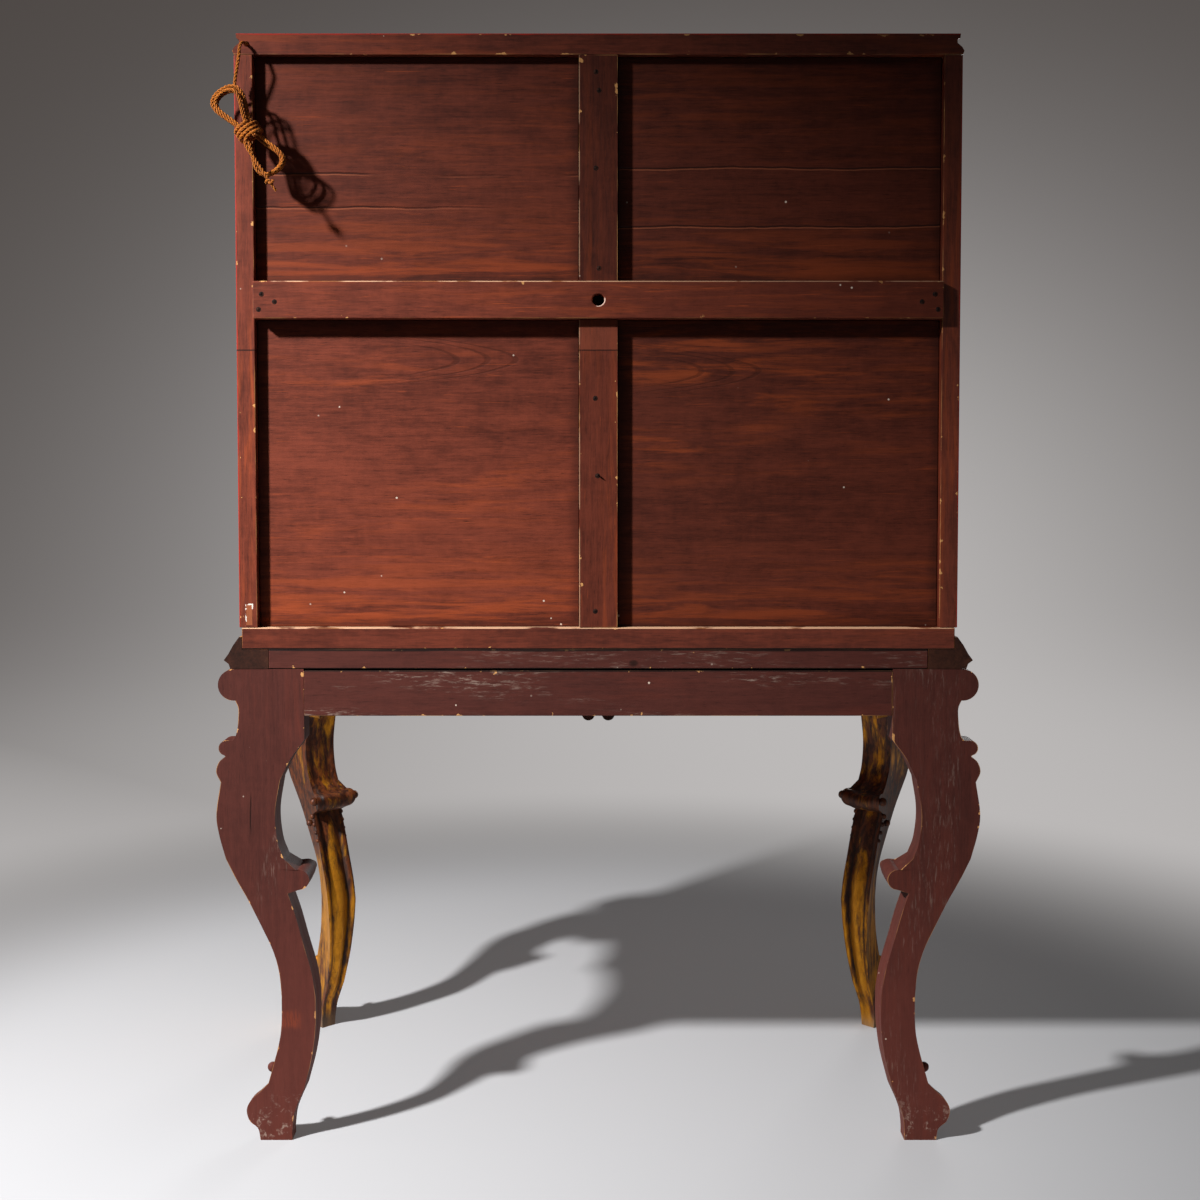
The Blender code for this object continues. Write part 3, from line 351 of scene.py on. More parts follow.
def washes(tone):
    """The back's light, dark and worn colours, scaled by a tone."""
    c = tints()
    return [(*(v * tone for v in t[:3]), 1.0) for t in (c.back_light, c.back_dark, c.back_worn)]


def node_box(node):
    low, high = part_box(node)
    return tuple(low), tuple(high)


def dress(node, material, soften=0.0):
    """Gives a CAD node its finish and, where it is sawn wood, arrises that are rounded by that much."""
    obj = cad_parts[node]
    obj.data.materials.clear()
    obj.data.materials.append(material)
    if soften:
        obj.modifiers.new("join", "WELD").merge_threshold = 0.00002
        bevel = obj.modifiers.new("arrises", "BEVEL")
        bevel.width, bevel.segments = soften, 2
        bevel.limit_method, bevel.angle_limit = "ANGLE", math.radians(40)


def shown(name, data):
    """A new object in the scene."""
    obj = bpy.data.objects.new(name, data)
    bpy.context.scene.collection.objects.link(obj)
    return obj


def columns(*parts):
    """Coordinates side by side, each spread to the shape of them all."""
    return np.stack(np.broadcast_arrays(*parts), axis=-1)


def unit(ways):
    """Directions, each one long."""
    return ways / np.linalg.norm(ways, axis=-1, keepdims=True)


def around(parts):
    """Even angles round a circle."""
    return 2 * np.pi * np.arange(parts) / parts


def run_length(points):
    """How far each point lies along its line."""
    return np.concatenate(((0,), np.cumsum(np.linalg.norm(np.diff(points, axis=0), axis=1))))


def curve(points, parts):
    """Catmull-Rom: each span is a cubic through its two ends, with slopes from their neighbours."""
    p = np.array(points, float)
    p = np.concatenate((2 * p[:1] - p[1:2], p, 2 * p[-1:] - p[-2:-1]))
    t = (np.arange(parts) / parts)[None, :, None]
    a, b, c, d = (p[i : len(p) - 3 + i][:, None, :] for i in range(4))
    bend, turn = 2 * a - 5 * b + 4 * c - d, 3 * b - a - 3 * c + d
    made = 0.5 * (2 * b + (c - a) * t + bend * t**2 + turn * t**3)
    return np.concatenate((made.reshape(-1, p.shape[1]), p[-2:-1]))


def even(points, parts):
    """The same run in even steps of its length."""
    run = run_length(points)
    steps = np.linspace(0, run[-1], parts + 1)
    return columns(*(np.interp(steps, run, column) for column in points.T))


def arc(centre, radius, start, end, parts):
    """Points round a circle, from one angle to another in degrees."""
    angle = np.radians(np.linspace(start, end, parts + 1))
    return [tuple(p) for p in centre + radius * columns(np.cos(angle), np.sin(angle))]


def grid(points, told=None):
    """A surface on rows and columns: its points, its quads, its end faces and what it tells its material.

    The columns close on themselves, and the first and last rows are filled, so that it is one skin.
    """
    shape = points.shape[:2]
    index = np.arange(math.prod(shape)).reshape(shape)
    beside = np.roll(index, -1, axis=1)
    quads = columns(index[:-1], beside[:-1], beside[1:], index[1:]).reshape(-1, 4)
    flat = points.reshape(-1, 3)
    caps = [index[0][::-1], index[-1]]
    a, b, c, d = (flat[quads[:, i]] - flat.mean(0) for i in range(4))
    volume = np.einsum("ij,ij->", a, np.cross(b, c)) + np.einsum("ij,ij->", a, np.cross(c, d))
    if volume < 0:
        quads = quads[:, ::-1]
        caps = [cap[::-1] for cap in caps]
    told = {key: np.broadcast_to(value, shape).reshape(-1) for key, value in (told or {}).items()}
    return flat, quads, caps, told


def piece(name, body, material, grids, sharp=38, stands_for=()):
    """One object from several skins, in the frame that the CAD has."""
    verts, faces, told = [], [], {}
    count = 0
    keys = sorted({key for g in grids for key in g[3]})
    for flat, quads, caps, values in grids:
        verts.append(flat)
        faces += (quads + count).tolist() + [(cap + count).tolist() for cap in caps]
        for key in keys:
            told.setdefault(key, []).append(values.get(key, np.zeros(len(flat))))
        count += len(flat)
    mesh = bpy.data.meshes.new(name)
    mesh.from_pydata(np.concatenate(verts).tolist(), [], faces)
    for key in keys:
        attribute = mesh.attributes.new(key, "FLOAT", "POINT")
        attribute.data.foreach_set("value", np.concatenate(told[key]).astype(np.float32))
    mesh.shade_smooth()
    mesh.set_sharp_from_angle(angle=math.radians(sharp))
    mesh.materials.append(material)
    obj = shown(name, mesh)
    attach(obj, body)
    if stands_for:
        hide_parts(*stands_for)
    return obj


def globe(centre, radii, told=None, rows=11, sides=16):
    """A ball: radius times (cos a cos b, cos a sin b, sin a)."""
    a = np.radians(np.linspace(-86, 86, rows))[:, None]
    b = around(sides)[None, :]
    way = columns(np.cos(a) * np.cos(b), np.cos(a) * np.sin(b), np.sin(a))
    return grid(centre + radii * way, told)


def carried(path):
    """Directions square to a path, turned as little as possible from each point to the next."""
    way = unit(np.gradient(path, axis=0))
    side = np.zeros_like(way)
    side[0] = unit(np.cross(way[0], (0.3, 0.2, 0.9)))
    for i in range(1, len(way)):
        side[i] = unit(side[i - 1] - way[i] * (side[i - 1] @ way[i]))
    return side, np.cross(way, side)


def rings(path, radius, sides):
    """Circles square to a path, of a radius that may change along it."""
    side, other = carried(path)
    a = around(sides)[None, :, None]
    thick = np.broadcast_to(radius, len(path))[:, None, None]
    return path[:, None] + (side[:, None] * np.cos(a) + other[:, None] * np.sin(a)) * thick


def rope(path, diameter, pitch, sides=8):
    """Three strands wound round a path: each one lies 0.268 diameters off it and turns once a pitch."""
    run = run_length(path)[:, None]
    side, other = carried(path)
    strands = []
    for start in around(3):
        turn = start + 2 * np.pi * run / pitch
        middle = path + (side * np.cos(turn) + other * np.sin(turn)) * diameter * 0.268
        told = {"run": run, "round": around(sides) + turn}
        strands.append(grid(rings(middle, diameter * 0.232, sides), told))
    return strands


def bar(path, radius):
    """A round gilt bar along a path."""
    return grid(rings(path, radius, 10), {"edge": 0.35})


def reach(start, start_way, end, end_way, parts):
    """A Hermite cubic between two ends, without the ends."""
    t = (np.arange(1, parts) / parts)[:, None]
    return (
        (2 * t**3 - 3 * t**2 + 1) * start
        + (t**3 - 2 * t**2 + t) * start_way
        + (3 * t**2 - 2 * t**3) * end
        + (t**3 - t**2) * end_way
    )


def hank_route():
    """The hank's centreline as along, across and off: loops, then wraps round the waist, then the tail.

    A loop is along = A cos q, across = sin q (w + g cos^2 q). Each turn climbs one step off the back.
    """
    turns = np.arange(0, HANK_TURNS, 1 / 48)
    q = math.radians(322) - 2 * math.pi * turns
    swell = HANK_STEP * (0.5 - 0.5 * np.cos(math.pi * turns))
    across = np.sin(q) * (HANK_WAIST + swell + (HANK_SPREAD + swell) * np.cos(q) ** 2)
    loops = columns((HANK_HALF + swell) * np.cos(q), across, HANK_STEP * turns)
    top, low = HANK_STEP * (HANK_TURNS + 1), -HANK_STEP
    bow = HANK_WAIST + 2.17 * HANK_STEP
    straight = (top - low) / 2 - bow + 0.25 * HANK_STEP
    a = np.linspace(0, math.pi / 2, 9)
    quarter = columns(bow * np.sin(a), straight + bow * np.cos(a))
    flank = columns(bow, np.linspace(straight, -straight, 9)[1:-1])
    right = np.concatenate((quarter, flank, quarter[::-1] * (1, -1)))
    one = np.concatenate((right, right[::-1][1:-1] * (-1, 1)))
    index = np.arange(WRAPS * len(one) + 1)
    level = HANK_STEP * (WRAPS / 2 - index / len(one))
    spot = one[index % len(one)]
    wraps = columns(level, spot[:, 0], (top + low) / 2 + spot[:, 1])
    pull = 0.022
    leave = unit(loops[-1] - loops[-2]) * pull
    sideways = np.array((0.0, pull, 0.0))
    rise = reach(loops[-1], leave, wraps[0], sideways, 12)
    tail_way = np.array((-1.0, 0.0, 0.0))
    tail_start = wraps[-1] + HANK_STEP * np.array((-2.6, 2.2, 0.5))
    bend = reach(wraps[-1], sideways, tail_start, tail_way * pull, 10)
    tail = tail_start + tail_way * np.linspace(0, TAIL, 12)[:, None]
    return np.concatenate((loops, rise, wraps, bend, tail))


def cord_route(diameter):
    """The whole cord: out of its bore, down, and through the hank to the end of its tail."""
    middle = BORE + np.array((-0.008, 0.0165, -0.1196))
    along = np.array((math.sin(HANK_TILT), 0, math.cos(HANK_TILT)))
    across = np.array((math.cos(HANK_TILT), 0, -math.sin(HANK_TILT)))
    local = hank_route()
    hank = middle + local @ np.array((along, across, (0, 1.0, 0)))
    way = unit(hank[0] - hank[1])
    end = hank[0] + way * diameter
    out = -BORE_WAY
    down = np.array((0, 0, -1.0))
    bend = 5 * diameter
    drop = (
        BORE - out * 0.012,
        BORE - out * diameter,
        BORE + out * diameter,
        BORE + out * bend * 0.55 + down * diameter * 0.35,
        BORE + out * bend * 0.82 + down * diameter * 1.9,
        BORE + out * bend * 0.92 + down * diameter * 4.5,
        end + way * diameter * 3.2,
        end + way * diameter * 1.2,
        end,
        hank[0],
    )
    return np.concatenate((curve(drop, 8)[:-1], hank))


def leg_runs():
    """The leg's drawing in stretches from its top: inner run, outer run, cuts, and what holds at the end.

    The last four are the shares of the thickness at both edges, the lip's rise and the channel.
    """
    lip, lip_r = (0.0085, 0.3555), 0.0135
    volute = arc((0.0935, 0.6185), 0.0210, 88, -95, 18)
    throat = ((0.0876, 0.588), (0.0876, 0.5746), (0.0895, 0.557), (0.0945, 0.5445))
    knob = arc((0.1045, 0.5335), 0.0100, 92, -78, 10)
    knee = ((0.106, 0.5215), (0.114, 0.515), (0.118, 0.5016), (0.112, 0.4876))
    hollow_in = ((0.033, 0.4906), (0.040, 0.446), (0.037, 0.407), (0.029, 0.384))
    hollow_out = ((0.112, 0.4876), (0.118, 0.445), (0.1145, 0.417), (0.1055, 0.384))
    lip_top = [(0.029, 0.384), (0.020, 0.3755), *arc(lip, lip_r, 75, 180, 6)]
    lip_under = [*arc(lip, lip_r, 180, 270, 6), (0.024, 0.337)]
    shaft_in = ((0.024, 0.337), (0.014, 0.307), (0.0027, 0.265), (-0.007, 0.2296), (-0.012, 0.197))
    shaft_bow = ((0.086, 0.346), (0.0754, 0.327), (0.0576, 0.291))
    shaft_out = (*shaft_bow, (0.043, 0.259), (0.035, 0.229), (0.032, 0.197))
    ankle_in = ((-0.012, 0.197), (-0.012, 0.159), (-0.007, 0.116), (0.004, 0.071))
    ankle_out = ((0.032, 0.197), (0.0325, 0.159), (0.037, 0.129), (0.051, 0.078))
    foot_in = ((0.004, 0.071), (0.017, 0.039), (0.0205, 0.016), (0.0205, 0.0))
    toe = ((0.081, 0.042), (0.077, 0.026), (0.066, 0.016), (0.063, 0.0))
    foot_out = ((0.051, 0.078), (0.063, 0.066), (0.074, 0.056), *toe)
    return (
        (((0, 0.640), (0, 0.598)), volute, 24, (1, 1, 0, 0)),
        (((0, 0.598), (0, 0.545)), (volute[-1], *throat, knob[0]), 16, (1, 0.95, 0, 0)),
        (((0, 0.545), (0.019, 0.5186), hollow_in[0]), (*knob, *knee), 28, (1, 0.9, 0, 0)),
        (hollow_in, hollow_out, 18, (1, 0.45, 0, 0.3)),
        (lip_top, (hollow_out[-1], (0.0945, 0.3615)), 14, (1.4, 0.35, 1, 0.3)),
        (lip_under, ((0.0945, 0.3615), shaft_out[0]), 12, (1, 0.3, 0, 0.6)),
        (shaft_in, shaft_out, 22, (1, 0.15, 0, 1)),
        (ankle_in, ankle_out, 20, (None, 0.2, 0, 0.7)),
        (foot_in, foot_out, 22, (None, None, 0, 0)),
    )


def leg_cuts(foot, lift):
    """Inner and outer edge, widths, rise and channel at every cut. The carving is lifted in its middle."""
    inner, outer, traits = [], [], []
    before = np.array((1.0, 1.0, 0.0, 0.0))
    for run_in, run_out, cuts, after in leg_runs():
        wide = foot + 0.15 if after[1] else foot
        after = np.array([wide if v is None else v for v in after], float)
        first = 1 if inner else 0
        share = (np.arange(cuts + 1) / cuts)[first:, None]
        inner.append(even(curve(run_in, 8), cuts)[first:])
        outer.append(even(curve(run_out, 8), cuts)[first:])
        traits.append(before + (after - before) * share)
        before = after
    lifted = []
    for line in (np.concatenate(inner), np.concatenate(outer)):
        share = line[:, 1] / DRAWN_LEG
        bump = np.minimum(1, np.minimum(share, 1 - share) / 0.3)
        height = LEG_TOP * share + lift * bump * bump * (3 - 2 * bump)
        lifted.append(columns(line[:, 0], height))
    return *lifted, np.concatenate(traits).T


def leg_skin(foot, lift, wide, half):
    """A carved leg's skin as u out, v across and z up: a ring of columns at every cut.

    The inner face runs over t from 1 to -1 across the leg. Its rims stand in by the channel's depth, with a
    small roll at the arris, and a tongue, cos^2 of t, fills the channel between two grooves. The flanks are
    straight lines to the narrow outer edge, drawn in by a sine. A half leg keeps the columns with t of 0 or
    less, with a shallow channel and no tongue, and is closed by a flat back.
    """
    inner, outer, (wide_in, wide_out, rise, stand) = (np.asarray(v) for v in leg_cuts(foot, lift))
    channel = sizes().channel * (0.25 if half else 1)
    groove = 0.4 if half else GROOVE
    t = np.linspace(0 if half else 1, -1, 9 if half else 41)[None, :]
    wall = np.clip((np.abs(t) - groove + 0.04) / 0.2, 0, 1)
    roll = np.exp(-(((np.abs(t) - 0.9) / 0.07) ** 2))
    tongue = 0 * t if half else np.cos(np.pi / 2 * np.clip(t / groove, -1, 1)) ** 2
    profile = np.maximum(0.5 - 0.5 * np.cos(np.pi * wall), tongue * 0.9)
    inward = stand[:, None] * (channel * profile + 0.0012 * roll)
    face = columns(
        inner[:, :1] - inward,
        wide * wide_in[:, None] * t,
        inner[:, 1:] + 0.006 * rise[:, None] * t**2,
    )
    far = columns(outer[:, 0], -wide * wide_out, outer[:, 1])
    s = np.linspace(0, 1, 9)[None, 1:, None]
    flank = face[:, -1:] * (1 - s) + far[:, None] * s
    flank[..., 1] *= 1 - 0.16 * np.clip(1 - wide_out, 0, 1)[:, None] * np.sin(np.pi * s[..., 0])
    brow = np.linspace(-1, 0 if half else 1, 4 if half else 7)[None, 1:]
    nose = np.clip(1 - wide_out, 0.1, 1)[:, None] * 0.0015 * (1 - brow**2)
    ridge = columns(outer[:, :1] + nose, wide * wide_out[:, None] * brow, outer[:, 1:])
    face_end = face.shape[1] - 1
    flank_end = face_end + flank.shape[1]
    arrises = (0, face_end, flank_end, flank_end + ridge.shape[1])
    if half:
        s = np.linspace(1, 0, 12)[None, 1:-1, None]
        closing = face[:, :1] * (1 - s) + ridge[:, -1:] * s
    else:
        closing = flank[:, ::-1][:, 1:] * (1, -1, 1)
    skin = np.concatenate((face, flank, ridge, closing), axis=1)
    apart = np.min([np.linalg.norm(skin - skin[:, a : a + 1], axis=2) for a in arrises], axis=0)
    line, crown = np.zeros((2, *skin.shape[:2]))
    line[:, : face.shape[1]] = stand[:, None] * np.exp(-(((np.abs(t) - groove) / 0.1) ** 2))
    crown[:, : face.shape[1]] = stand[:, None] * tongue
    return skin, {"edge": np.exp(-apart / 0.0045), "line": line, "crown": crown}


def leg_balls(wide, lift, half):
    """Carved balls: at the lip's ends, on the ankle, and a line of small cusps under the lip."""
    bead = sizes().bead
    whole = () if half else (1,)
    inset = 0.0268 if half else 0.022
    balls = [((0.001, v * wide * 1.45, 0.3615 + lift), bead) for v in (-1, *whole)]
    balls.append(((0.048, -0.25 * wide if half else 0, 0.097 + lift * 0.5), bead))
    for v in (-1, *whole):
        for k in range(4):
            cusp = (inset - 0.0042 * k, v * wide * (1.0 - 0.01 * k), 0.333 - 0.0125 * k + lift)
            balls.append((cusp, bead * (0.62 - 0.06 * k)))
        if not half:
            balls.append(((0.027, v * wide * 1.08, 0.322 + lift), bead * 0.8))
    return balls


def placed(points, corner, turn, flip):
    """Leg coordinates into the cabinet's: u runs out at the turn from +X, v across it towards the back."""
    out = (math.cos(turn), -math.sin(turn), 0)
    across = (math.sin(turn), math.cos(turn), 0)
    return (corner + points @ np.array((out, across, (0, 0, 1.0)))) * (flip, 1, 1)


def leg(name, material, slot, flip, corner, turn, wide, foot, lift, half):
    """A whole or half leg with its balls, in place of the CAD's."""
    skin, told = leg_skin(foot, lift, wide, half)
    skins = [grid(placed(skin, corner, turn, flip), told)]
    for centre, radius in leg_balls(wide, lift, half):
        spot = placed(np.array(centre), corner, turn, flip)
        skins.append(globe(spot, (radius,) * 3, {"edge": 0.45}))
    piece(f"{name}_carved", "case", material, skins, 40, (name,))


def gilding(name, back=None, worn=0.0, ledge=None):
    """Leaf over brown clay: rubbed off in patches and on the arrises, with a dark line beside each channel.

    A leg is worn in streaks along it, and more so above its lip.
    """
    f = Finish(name)
    c = tints()
    f.shader.inputs["Specular IOR Level"].default_value = 0.4 if back is None else 0.13
    cloud = f.noise((15.0, 15.0, 9.0 if worn else 15.0), 2.0, 5.0, 0.5, 0.62)
    fine = f.noise((170.0, 170.0, 60.0 if worn else 170.0), 5.0, 4.0, 0.0, 0.6)
    streak = f.noise((85.0, 85.0, 15.0 if worn else 60.0), 9.0, 6.0, 0.2, 0.7)
    line = f.told("line")
    keep = cloud * 0.45 + streak * 0.55 - f.told("edge") * 0.05 - line * 0.1
    if worn:
        upper = f.ease(f.z, 0.20, 0.33) - f.ease(f.z, 0.40, 0.52) * 0.6
        keep = keep + f.told("crown") * 0.07 - upper * worn * 1.7
    leaf = f.ease(keep, 0.36 + worn * 0.9, 0.53 + worn * 0.5)
    bole = srgb(100, 49, 18) if worn else c.bole
    clay = f.mix(f.ease(fine, 0.4, 0.62), srgb(52, 22, 8), bole)
    gold = f.mix(f.ease(fine, 0.35, 0.65) * 0.5, c.gold, srgb(166, 98, 16))
    f.base = f.mix(leaf, clay, gold)
    f.lay(line * 0.85, srgb(22, 9, 3))
    lap = f.ease(abs((f.z * 62.0 + cloud * 0.8).wave()), 0.05, 0.0)
    f.lay(lap * leaf * 0.3, srgb(110, 56, 14))
    metal = leaf * 0.5 + 0.28
    rough = 0.46 - leaf * 0.06 + fine * 0.12
    if worn:
        scuffed = f.ease(f.z + cloud * 0.03, 0.045, 0.018) * 0.7
        f.lay(scuffed, srgb(112, 92, 72))
        metal = metal * (1.0 - scuffed)
        rough = rough + scuffed * 0.25
    if ledge:
        dust = f.ease(f.z, ledge - 0.0016, ledge - 0.0004)
        f.lay(dust * 0.7, srgb(120, 96, 74))
        metal = metal * (1.0 - dust)
        rough = rough + dust * 0.4
    if back is not None:
        end = f.ease(f.y, back - PAINT_SKIN, back - PAINT_SKIN * 0.5)
        leafed = f.base
        f.timber("y", srgb(60, 32, 22), srgb(28, 14, 9), srgb(84, 50, 32), 4.0, 0.4)
        f.base = f.mix(end, leafed, f.base)
        metal = metal * (1.0 - end)
        rough = rough + end * 0.3
    return f.shade(rough, cloud * 0.3 + fine * 0.4 + leaf * 0.4, 0.35, 0.0008, metal)


def stand_paint(name, axis, seed, box=None, scuffs=0.25, knot=None, joints=()):
    """Matt plum-brown paint over wood: chipped to bare wood on the arrises, with pale scuffs and specks."""
    f = Finish(name)
    c = tints()
    height = f.timber(axis, c.stand_light, c.stand_dark, srgb(98, 44, 33), seed, 0.45)
    where = f.ease(f.noise(f.grain(axis, 3.0, 16.0), seed + 20, 3.0, 0.6), 0.46, 0.62)
    scrape = f.noise(f.grain(axis, 45.0, 340.0), seed + 21, 5.0, 0.3, 0.7)
    f.lay(f.ease(scrape, 0.52, 0.68) * where * scuffs, c.dust)
    arris = 0.012 - f.told("edge") * 0.012 if box is None else f.arris(box)
    chip = f.chips(arris, seed, c.raw)
    if box is None:
        # Painted light: the lower legs are lightened, as if the lamp lit their shafts more.
        f.lay(f.ease(f.z, 0.42, 0.12) * 0.2, srgb(132, 66, 54))
        wander = f.noise(20.0, 3.0, 3.0) * 0.006
        rust = f.strip(f.x + wander * 2.0, RUST_SPOT[0] + 0.006, 0.02)
        rust = rust * f.strip(f.z + wander * 3.0, RUST_SPOT[1] + 0.009, 0.016)
        f.lay(rust * f.ease(scrape, 0.36, 0.6) * 0.5, srgb(132, 58, 34))
        spatter = f.noise(120.0, seed + 23, 5.0, 0.4, 0.7)
        foot = f.ease(f.z, 0.08, 0.01) * f.ease(spatter, 0.54, 0.68)
        f.lay(foot * 0.3, c.dust)
        crack = f.strip(f.x + wander, LEG_CRACK_X + 0.003, 0.0011)
        for end, inward in zip(LEG_CRACK_Z, (0.02, -0.02)):
            crack = crack * f.ease(f.z, end, end + inward)
        f.lay(crack * 0.85, srgb(26, 12, 8))
        height = height - crack * 2.0
    if knot:
        aside, above = f.x - knot[0], f.z - knot[1]
        ring = aside * aside * 0.5 + above * above
        f.lay(f.ease(ring + scrape * 0.00002, 0.00004, 0.000012) * 0.8, srgb(24, 11, 7))
    # Painted shade along the edges where these boards meet the parts next to them.
    for end, deep in joints:
        f.painted_joint_shade(box, end, deep, seed)
    f.lay(f.specks(46.0, 0.085, seed + 2) * 0.9, c.dust)
    rough = 0.56 + scrape * 0.2
    return f.shade(rough, height - chip * 0.8, 0.35, 0.0008)


class CABINET_OT_stage(bpy.types.Operator):
    """A pale round floor that rises into a grey wall that glows as painted light, a soft lamp from the
    left, and the camera
    """

    bl_idname = "cabinet.stage"
    bl_label = "Stage"

    def execute(self, context):
        run = curve(BOWL, 12)
        a = around(96)[None, :]
        flat, quads, _, _ = grid(columns(run[:, :1] * np.cos(a), run[:, :1] * np.sin(a), run[:, 1:]))
        mesh = bpy.data.meshes.new("studio_floor")
        mesh.from_pydata(flat.tolist(), [], quads.tolist())
        mesh.shade_smooth()
        mesh.materials.append(self.paper())
        shown("studio_floor", mesh)
        for name, lamp in LAMPS.items():
            self.lamp(name, *lamp)
        world = bpy.data.worlds.new("studio_air")
        world.use_nodes = True
        air = world.node_tree.nodes["Background"].inputs
        air["Color"].default_value = (0.95, 0.97, 1.0, 1)
        air["Strength"].default_value = AIR
        context.scene.world = world
        lens = bpy.data.cameras.new("camera")
        lens.sensor_width, lens.lens = 36, LENS_MM
        lens.shift_x, lens.shift_y = SHIFT
        camera = shown("camera", lens)
        camera.location = (0, BACK_Y + sizes().lens_distance, sizes().lens_height)
        camera.rotation_euler = (math.pi / 2 - PITCH, 0, math.pi)
        context.scene.camera = camera
        context.scene.view_settings.view_transform = "Standard"
        return {"FINISHED"}

    def paper(self):
        """Pale paper on the floor. Camera and glossy rays see it glow: faintly near the object, which lifts
        its shadow, and further out as a painted grey pool of light.
        """
        f = Finish("studio_paper")
        c = tints()
        away = f.node("ShaderNodeVectorMath", {"operation": "LENGTH"}, {0: f.place}, "Value")
        wall = f.ease(away, 0.9, 2.0)
        f.base = f.mix(wall, c.floor, c.wall)
        f.shade(0.75, f.noise(60.0), 0.02)
        path = f.node("ShaderNodeLightPath", None, None, "Is Camera Ray")
        rays = {s.identifier: Wire(f, s) for s in path.socket.node.outputs}
        # Painted light: a faint glow over the whole floor, which lifts the object's shadow.
        glow_share = wall * 0.91 + 0.09
        seen = path.high(rays["Is Glossy Ray"]).high(rays["Is Transmission Ray"]) * glow_share
        # Painted pool of light on the backdrop: brightest low down, near x = -0.8.
        across = abs(f.x + 0.8).low(abs(f.y)) * 0.45
        up = f.z * 0.56
        grey = f.mix((across * across * 0.5 + up * up * 0.5).fade(), c.wall, srgb(188, 185, 184))
        glow = f.node("ShaderNodeEmission", None, {"Color": grey})
        both = f.node("ShaderNodeMixShader", None, {0: seen, 1: Wire(f, f.shader.outputs[0]), 2: glow})
        f.tree.links.new(both.socket, f.tree.nodes["Material Output"].inputs["Surface"])
        return f.material

    def lamp(self, name, place, aim, power, radius, cone):
        """A soft spot lamp with a wide, faded cone."""
        light = bpy.data.lights.new(name, "SPOT")
        light.energy, light.shadow_soft_size = power, radius
        light.spot_size, light.spot_blend = math.radians(cone), 1.0
        obj = shown(name, light)
        obj.location = place
        way = np.array(place) - np.array(aim)
        flat = math.hypot(way[0], way[1])
        obj.rotation_euler = (math.atan2(flat, way[2]), 0, math.atan2(way[0], -way[1]))


class CABINET_OT_cord(bpy.types.Operator):
    """The three-strand cord that hangs from the top in a hank, and the knot at its end"""

    bl_idname = "cabinet.cord"
    bl_label = "Cord"

    def execute(self, context):
        c = tints()
        diameter = sizes().cord_diameter
        f = Finish("twisted_silk")
        thread = (f.told("round") * 7.0 + f.told("run") * 2600.0).wave() * 0.5 + 0.5
        fade = f.noise(60.0, 3.0, 4.0)
        # Painted shade: the colour darkens between the threads.
        f.base = f.mix(f.ease(thread, 0.05, 0.7), c.silk_thread_shade, c.silk)
        f.lay(f.ease(fade, 0.42, 0.7) * 0.55, srgb(128, 62, 10))
        f.shader.inputs["Sheen Weight"].default_value = 0.08
        silk = f.shade(0.62 - thread * 0.15, thread, 0.6, 0.0005)
        route = cord_route(diameter)
        length = np.linalg.norm(np.diff(route, axis=0), axis=1).sum()
        path = even(route, int(length / CORD_STEP))
        strands = rope(path, diameter, sizes().twist)
        cord = piece("cord", "case", silk, strands, 80, ("cord_drop", "cord_hank"))
        t = np.linspace(0, 2 * np.pi, 240)
        ends = unit(path[-1] - path[-8])
        trefoil = columns(np.sin(t) + 2 * np.sin(2 * t), np.cos(t) - 2 * np.cos(2 * t), -np.sin(3 * t))
        knot_path = path[-1] + ends * 0.0052 + trefoil * 0.00165
        tied = rope(knot_path, diameter * 0.78, sizes().twist * 0.6)
        fray = np.linspace(0, 1, 20)[:, None] * ends * 0.013 + path[-1] + ends * 0.006
        fray += columns(0, 0.0008 * np.sin(t[:20] * 9), 0)
        tied += rope(fray, diameter * 0.8, 0.02)
        knot = piece("cord_knot", "case", silk, tied, 80, ("cord_end_knot",))
        dress("lamp_flex_inside", silk)
        return {"FINISHED"}


class CABINET_OT_rear_legs(bpy.types.Operator):
    """The two painted rear legs, cut flat at the back"""

    bl_idname = "cabinet.rear_legs"
    bl_label = "Rear legs"

    def execute(self, context):
        paint = stand_paint("leg_paint", "z", 2.0, None, 0.12)
        for side, flip in SIDES.items():
            leg(f"leg_rear_{side}", paint, "red_brown_paint", flip, **REAR_LEG)
        return {"FINISHED"}


class CABINET_OT_front_legs(bpy.types.Operator):
    """The two gilded front legs, set across the corners"""

    bl_idname = "cabinet.front_legs"
    bl_label = "Front legs"

    def execute(self, context):
        gold = gilding("leg_gilding", None, 0.065)
        for side, flip in SIDES.items():
            leg(f"leg_front_{side}", gold, "gilding", flip, **FRONT_LEG)
        return {"FINISHED"}


